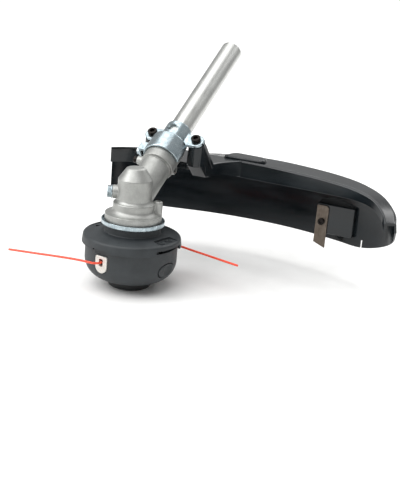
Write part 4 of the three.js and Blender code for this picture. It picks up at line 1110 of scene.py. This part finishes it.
def guard_sections(width, low, top, lip_low, lip_top):
    """The channel's outline at every station: out over the wall, deck and lip, and back inside.

    The wall meets the deck in an arc of radius r about (1.5 + r, top - r), and the inner outline
    is the same arc with r less the wall's thickness, so that the wall is even round the bend."""
    radius = np.minimum(9, np.minimum(width * 0.3, (top - low) * 0.3))[:, None]
    angle = np.linspace(0, math.pi / 2, 11)[None, :]
    edge = 1.6

    def side(inset):
        reach = radius - inset
        arc = np.stack([1.5 + radius - reach * np.cos(angle),
                        top[:, None] - radius + reach * np.sin(angle)], -1)
        foot = np.stack([np.full_like(low, inset), low], -1)[:, None]
        lip = np.stack([np.stack([width - edge - inset, lip_top - inset], -1),
                        np.stack([width - inset, lip_top - edge - inset], -1),
                        np.stack([width - inset, lip_low], -1)], 1)
        return np.concatenate([foot, arc, lip], 1)

    outline = np.concatenate([side(0), side(GUARD_WALL)[:, ::-1]], 1)
    round_off = np.zeros(outline.shape[1])
    round_off[[0, -1]] = 1.0
    half = outline.shape[1] // 2
    round_off[[half - 3, half - 2]] = 0.8
    round_off[[half - 1, half]] = 1.0
    return corners_rounded(outline, round_off, 3)


def guard_shell(stations=150):
    """Each section stands upright on the line from the wall's foot to the lip's foot."""
    foot = along_rows((0, 1, 2), stations)
    lip = along_rows((4, 5, 6), stations)
    deck = along_rows((0, 1, 3), stations)[:, 2]
    lip_top = along_rows((4, 5, 7), stations)[:, 2]
    inwards = lip[:, :2] - foot[:, :2]
    width = np.linalg.norm(inwards, axis=1)
    inwards /= width[:, None]
    outline = guard_sections(width, foot[:, 2], deck, lip[:, 2], lip_top)
    plan = foot[:, None, :2] + inwards[:, None] * outline[..., :1]
    return skin(np.concatenate([plan, outline[..., 1:]], -1))


# %% [markdown]
# The middle of the guard is a hollow bracket, open below. A post, an oval boss and webs carry it up
# to each of the strap's ears. On the right a block inside the wall carries the line cutter. These are added
# to the shell one by one, and then the screw holes and the slit in the curled end are cut.

# %% Guard bracket, posts and cutter block
POST_R, POST_LENGTH = 9.3, 34
RIM = 101
BLADE_X, BLADE_Y = 158.8, 161.5
BLADE_WIDTH, BLADE_THICK = 14, 1.6
BLADE_LOW, BLADE_HIGH, BLADE_SCREW_Z = 33, 83, 64
BLADE_HOLE = 2.6
BOSS_DEPTH = 8.2              # the oval boss is this far across, front to back, each way
WEB_HALF = 8.5


def bracket_plan(inset_by):
    """A wide base behind and a narrow nose in front, reached by a straight flank each side."""
    right, left = EAR_X
    points = [[left - 9 + inset_by, 93 + inset_by], [right + 9 - inset_by, 93 + inset_by],
              [right + 12 - inset_by, 118], [62 - inset_by, 156 - inset_by], [-62 + inset_by, 156 - inset_by],
              [left - 12 + inset_by, 118]]
    return corners_rounded(points, [5, 5, 14, 4, 4, 14], 6)


def bracket():
    """The plan made 19 mm high, hollowed, and sloped off below towards the shaft."""
    thing = piece("guard_bracket", slab(bracket_plan(0), RIM, GUARD_TOP, edge=1.6))
    hollow = slab(bracket_plan(GUARD_WALL), RIM - 5, GUARD_TOP - GUARD_WALL, edge=0.6)
    clear = block([-50, 140, 60], [50, 200, GUARD_TOP - GUARD_WALL], edge=0.1)
    slope = slab(np.array([[73, 81], [73, 112], [93, 112], [150, RIM], [156, 81]]), -80, 80,
                 SIDEWAYS, edge=0.1)
    return without(thing, hollow, clear, slope)


def taken(thing):
    """The mesh of a helper piece as a form in millimetres, and the helper removed."""
    mesh = thing.data
    points = np.empty(len(mesh.vertices) * 3)
    mesh.vertices.foreach_get("co", points)
    points = (points.reshape(-1, 3) - np.array([0, 0, DROP * MM])) / MM
    faces = [list(face.vertices) for face in mesh.polygons]
    bpy.data.objects.remove(thing)
    bpy.data.meshes.remove(mesh)
    return points, faces


def upright_boss(x):
    """An oval boss straight up to the ear, sliced off along the ear's slope, joined to the bracket."""
    oval = slab(ellipse(POST_R, BOSS_DEPTH, centre=(x, 85)), 120, 165, edge=0.6)
    thing = piece("upright_boss", oval)
    seat = above_shaft(x, EAR_AT) @ shift(0, 0, 60 + EAR_UP - GAP)
    slice_off = block([-60, -60, -60], [60, 60, 60], seat, edge=0.05)
    return taken(without(thing, slice_off))


def boss_web(x):
    """The wall from the boss back and down to the bracket."""
    outline = np.array([[79, 122], [80, 136], [92, 138], [112, 119], [112, 104], [97, 106]])
    return slab(outline, x - WEB_HALF, x + WEB_HALF, SIDEWAYS, edge=1.5)


def gusset(x):
    away = math.copysign(1, x)
    outline = [[x + 4 * away, -3], [x + 9 * away, -3], [x + 14 * away, -POST_LENGTH],
               [x + 4 * away, -POST_LENGTH]]
    return slab(outline, -2.5, 2.5, above_shaft(0, EAR_AT + 2) @ UPRIGHT, edge=0.6)


cutter_outline = corners_rounded([
    [BLADE_X - 7, BLADE_Y + 1.9], [BLADE_X + 10, BLADE_Y + 1.9], [196, 164], [196, 173.5],
    [BLADE_X - 10, 186],
], [1.5, 4, 3, 2, 2])
swoosh = corners_rounded([[32, 151], [86, 154], [80, 176], [38, 178]], [8, 12, 9, 9], 8)

guard = piece("moulded_guard", guard_shell())
with_also(
    guard, taken(bracket()),
    *[rod(POST_R, -POST_LENGTH, EAR_UP - GAP, above_shaft(x, EAR_AT), edge=0.9, around=64) for x in EAR_X],
    *[gusset(x) for x in EAR_X],
    *[upright_boss(x) for x in EAR_X],
    *[boss_web(x) for x in EAR_X],
    slab(cutter_outline, 50, BLADE_HIGH + 2, edge=1.4),
    slab(swoosh, GUARD_TOP - 1.5, GUARD_TOP + 3, edge=2.2),
)
blade_seat = shift(BLADE_X, BLADE_Y, BLADE_SCREW_Z) @ spin(-90, "X")
without(
    guard,
    *[rod(CLAMP_HOLE, EAR_UP - POST_LENGTH + 8, EAR_UP + 5, above_shaft(x, EAR_AT), edge=0.05)
      for x in EAR_X],
    rod(BLADE_HOLE, 0, 16, blade_seat, edge=CLEAN),
    block([207, 140, 30], [208.8, 200, 51], edge=0.3),
)
settle(guard, "guard")

# %% [markdown]
# ## Line cutter
# A strip of hardened steel with a slanted lower end, screwed to the guard's block. It trims the line
# to length as the head feeds more.

# %% Line cutter
blade_outline = corners_rounded([
    [-BLADE_WIDTH / 2, BLADE_LOW + 5.5], [BLADE_WIDTH / 2, BLADE_LOW], [BLADE_WIDTH / 2, BLADE_HIGH - 2.5],
    [BLADE_WIDTH / 2 - 2.5, BLADE_HIGH], [-BLADE_WIDTH / 2, BLADE_HIGH],
], 0.6)
blade = piece("line_cutter_blade", slab(blade_outline, -BLADE_THICK / 2, BLADE_THICK / 2,
                                        shift(BLADE_X, BLADE_Y + BLADE_THICK / 2, 0) @ UPRIGHT, edge=0.2))
settle(without(blade, rod(BLADE_HOLE, -5, 5, blade_seat, edge=0.02)), "cutter_blade")
cap_screw("cutter_screw", "blade_screw", blade_seat @ over @ shift(0, 0, GAP), 2.3, 13, 4, 2.6)
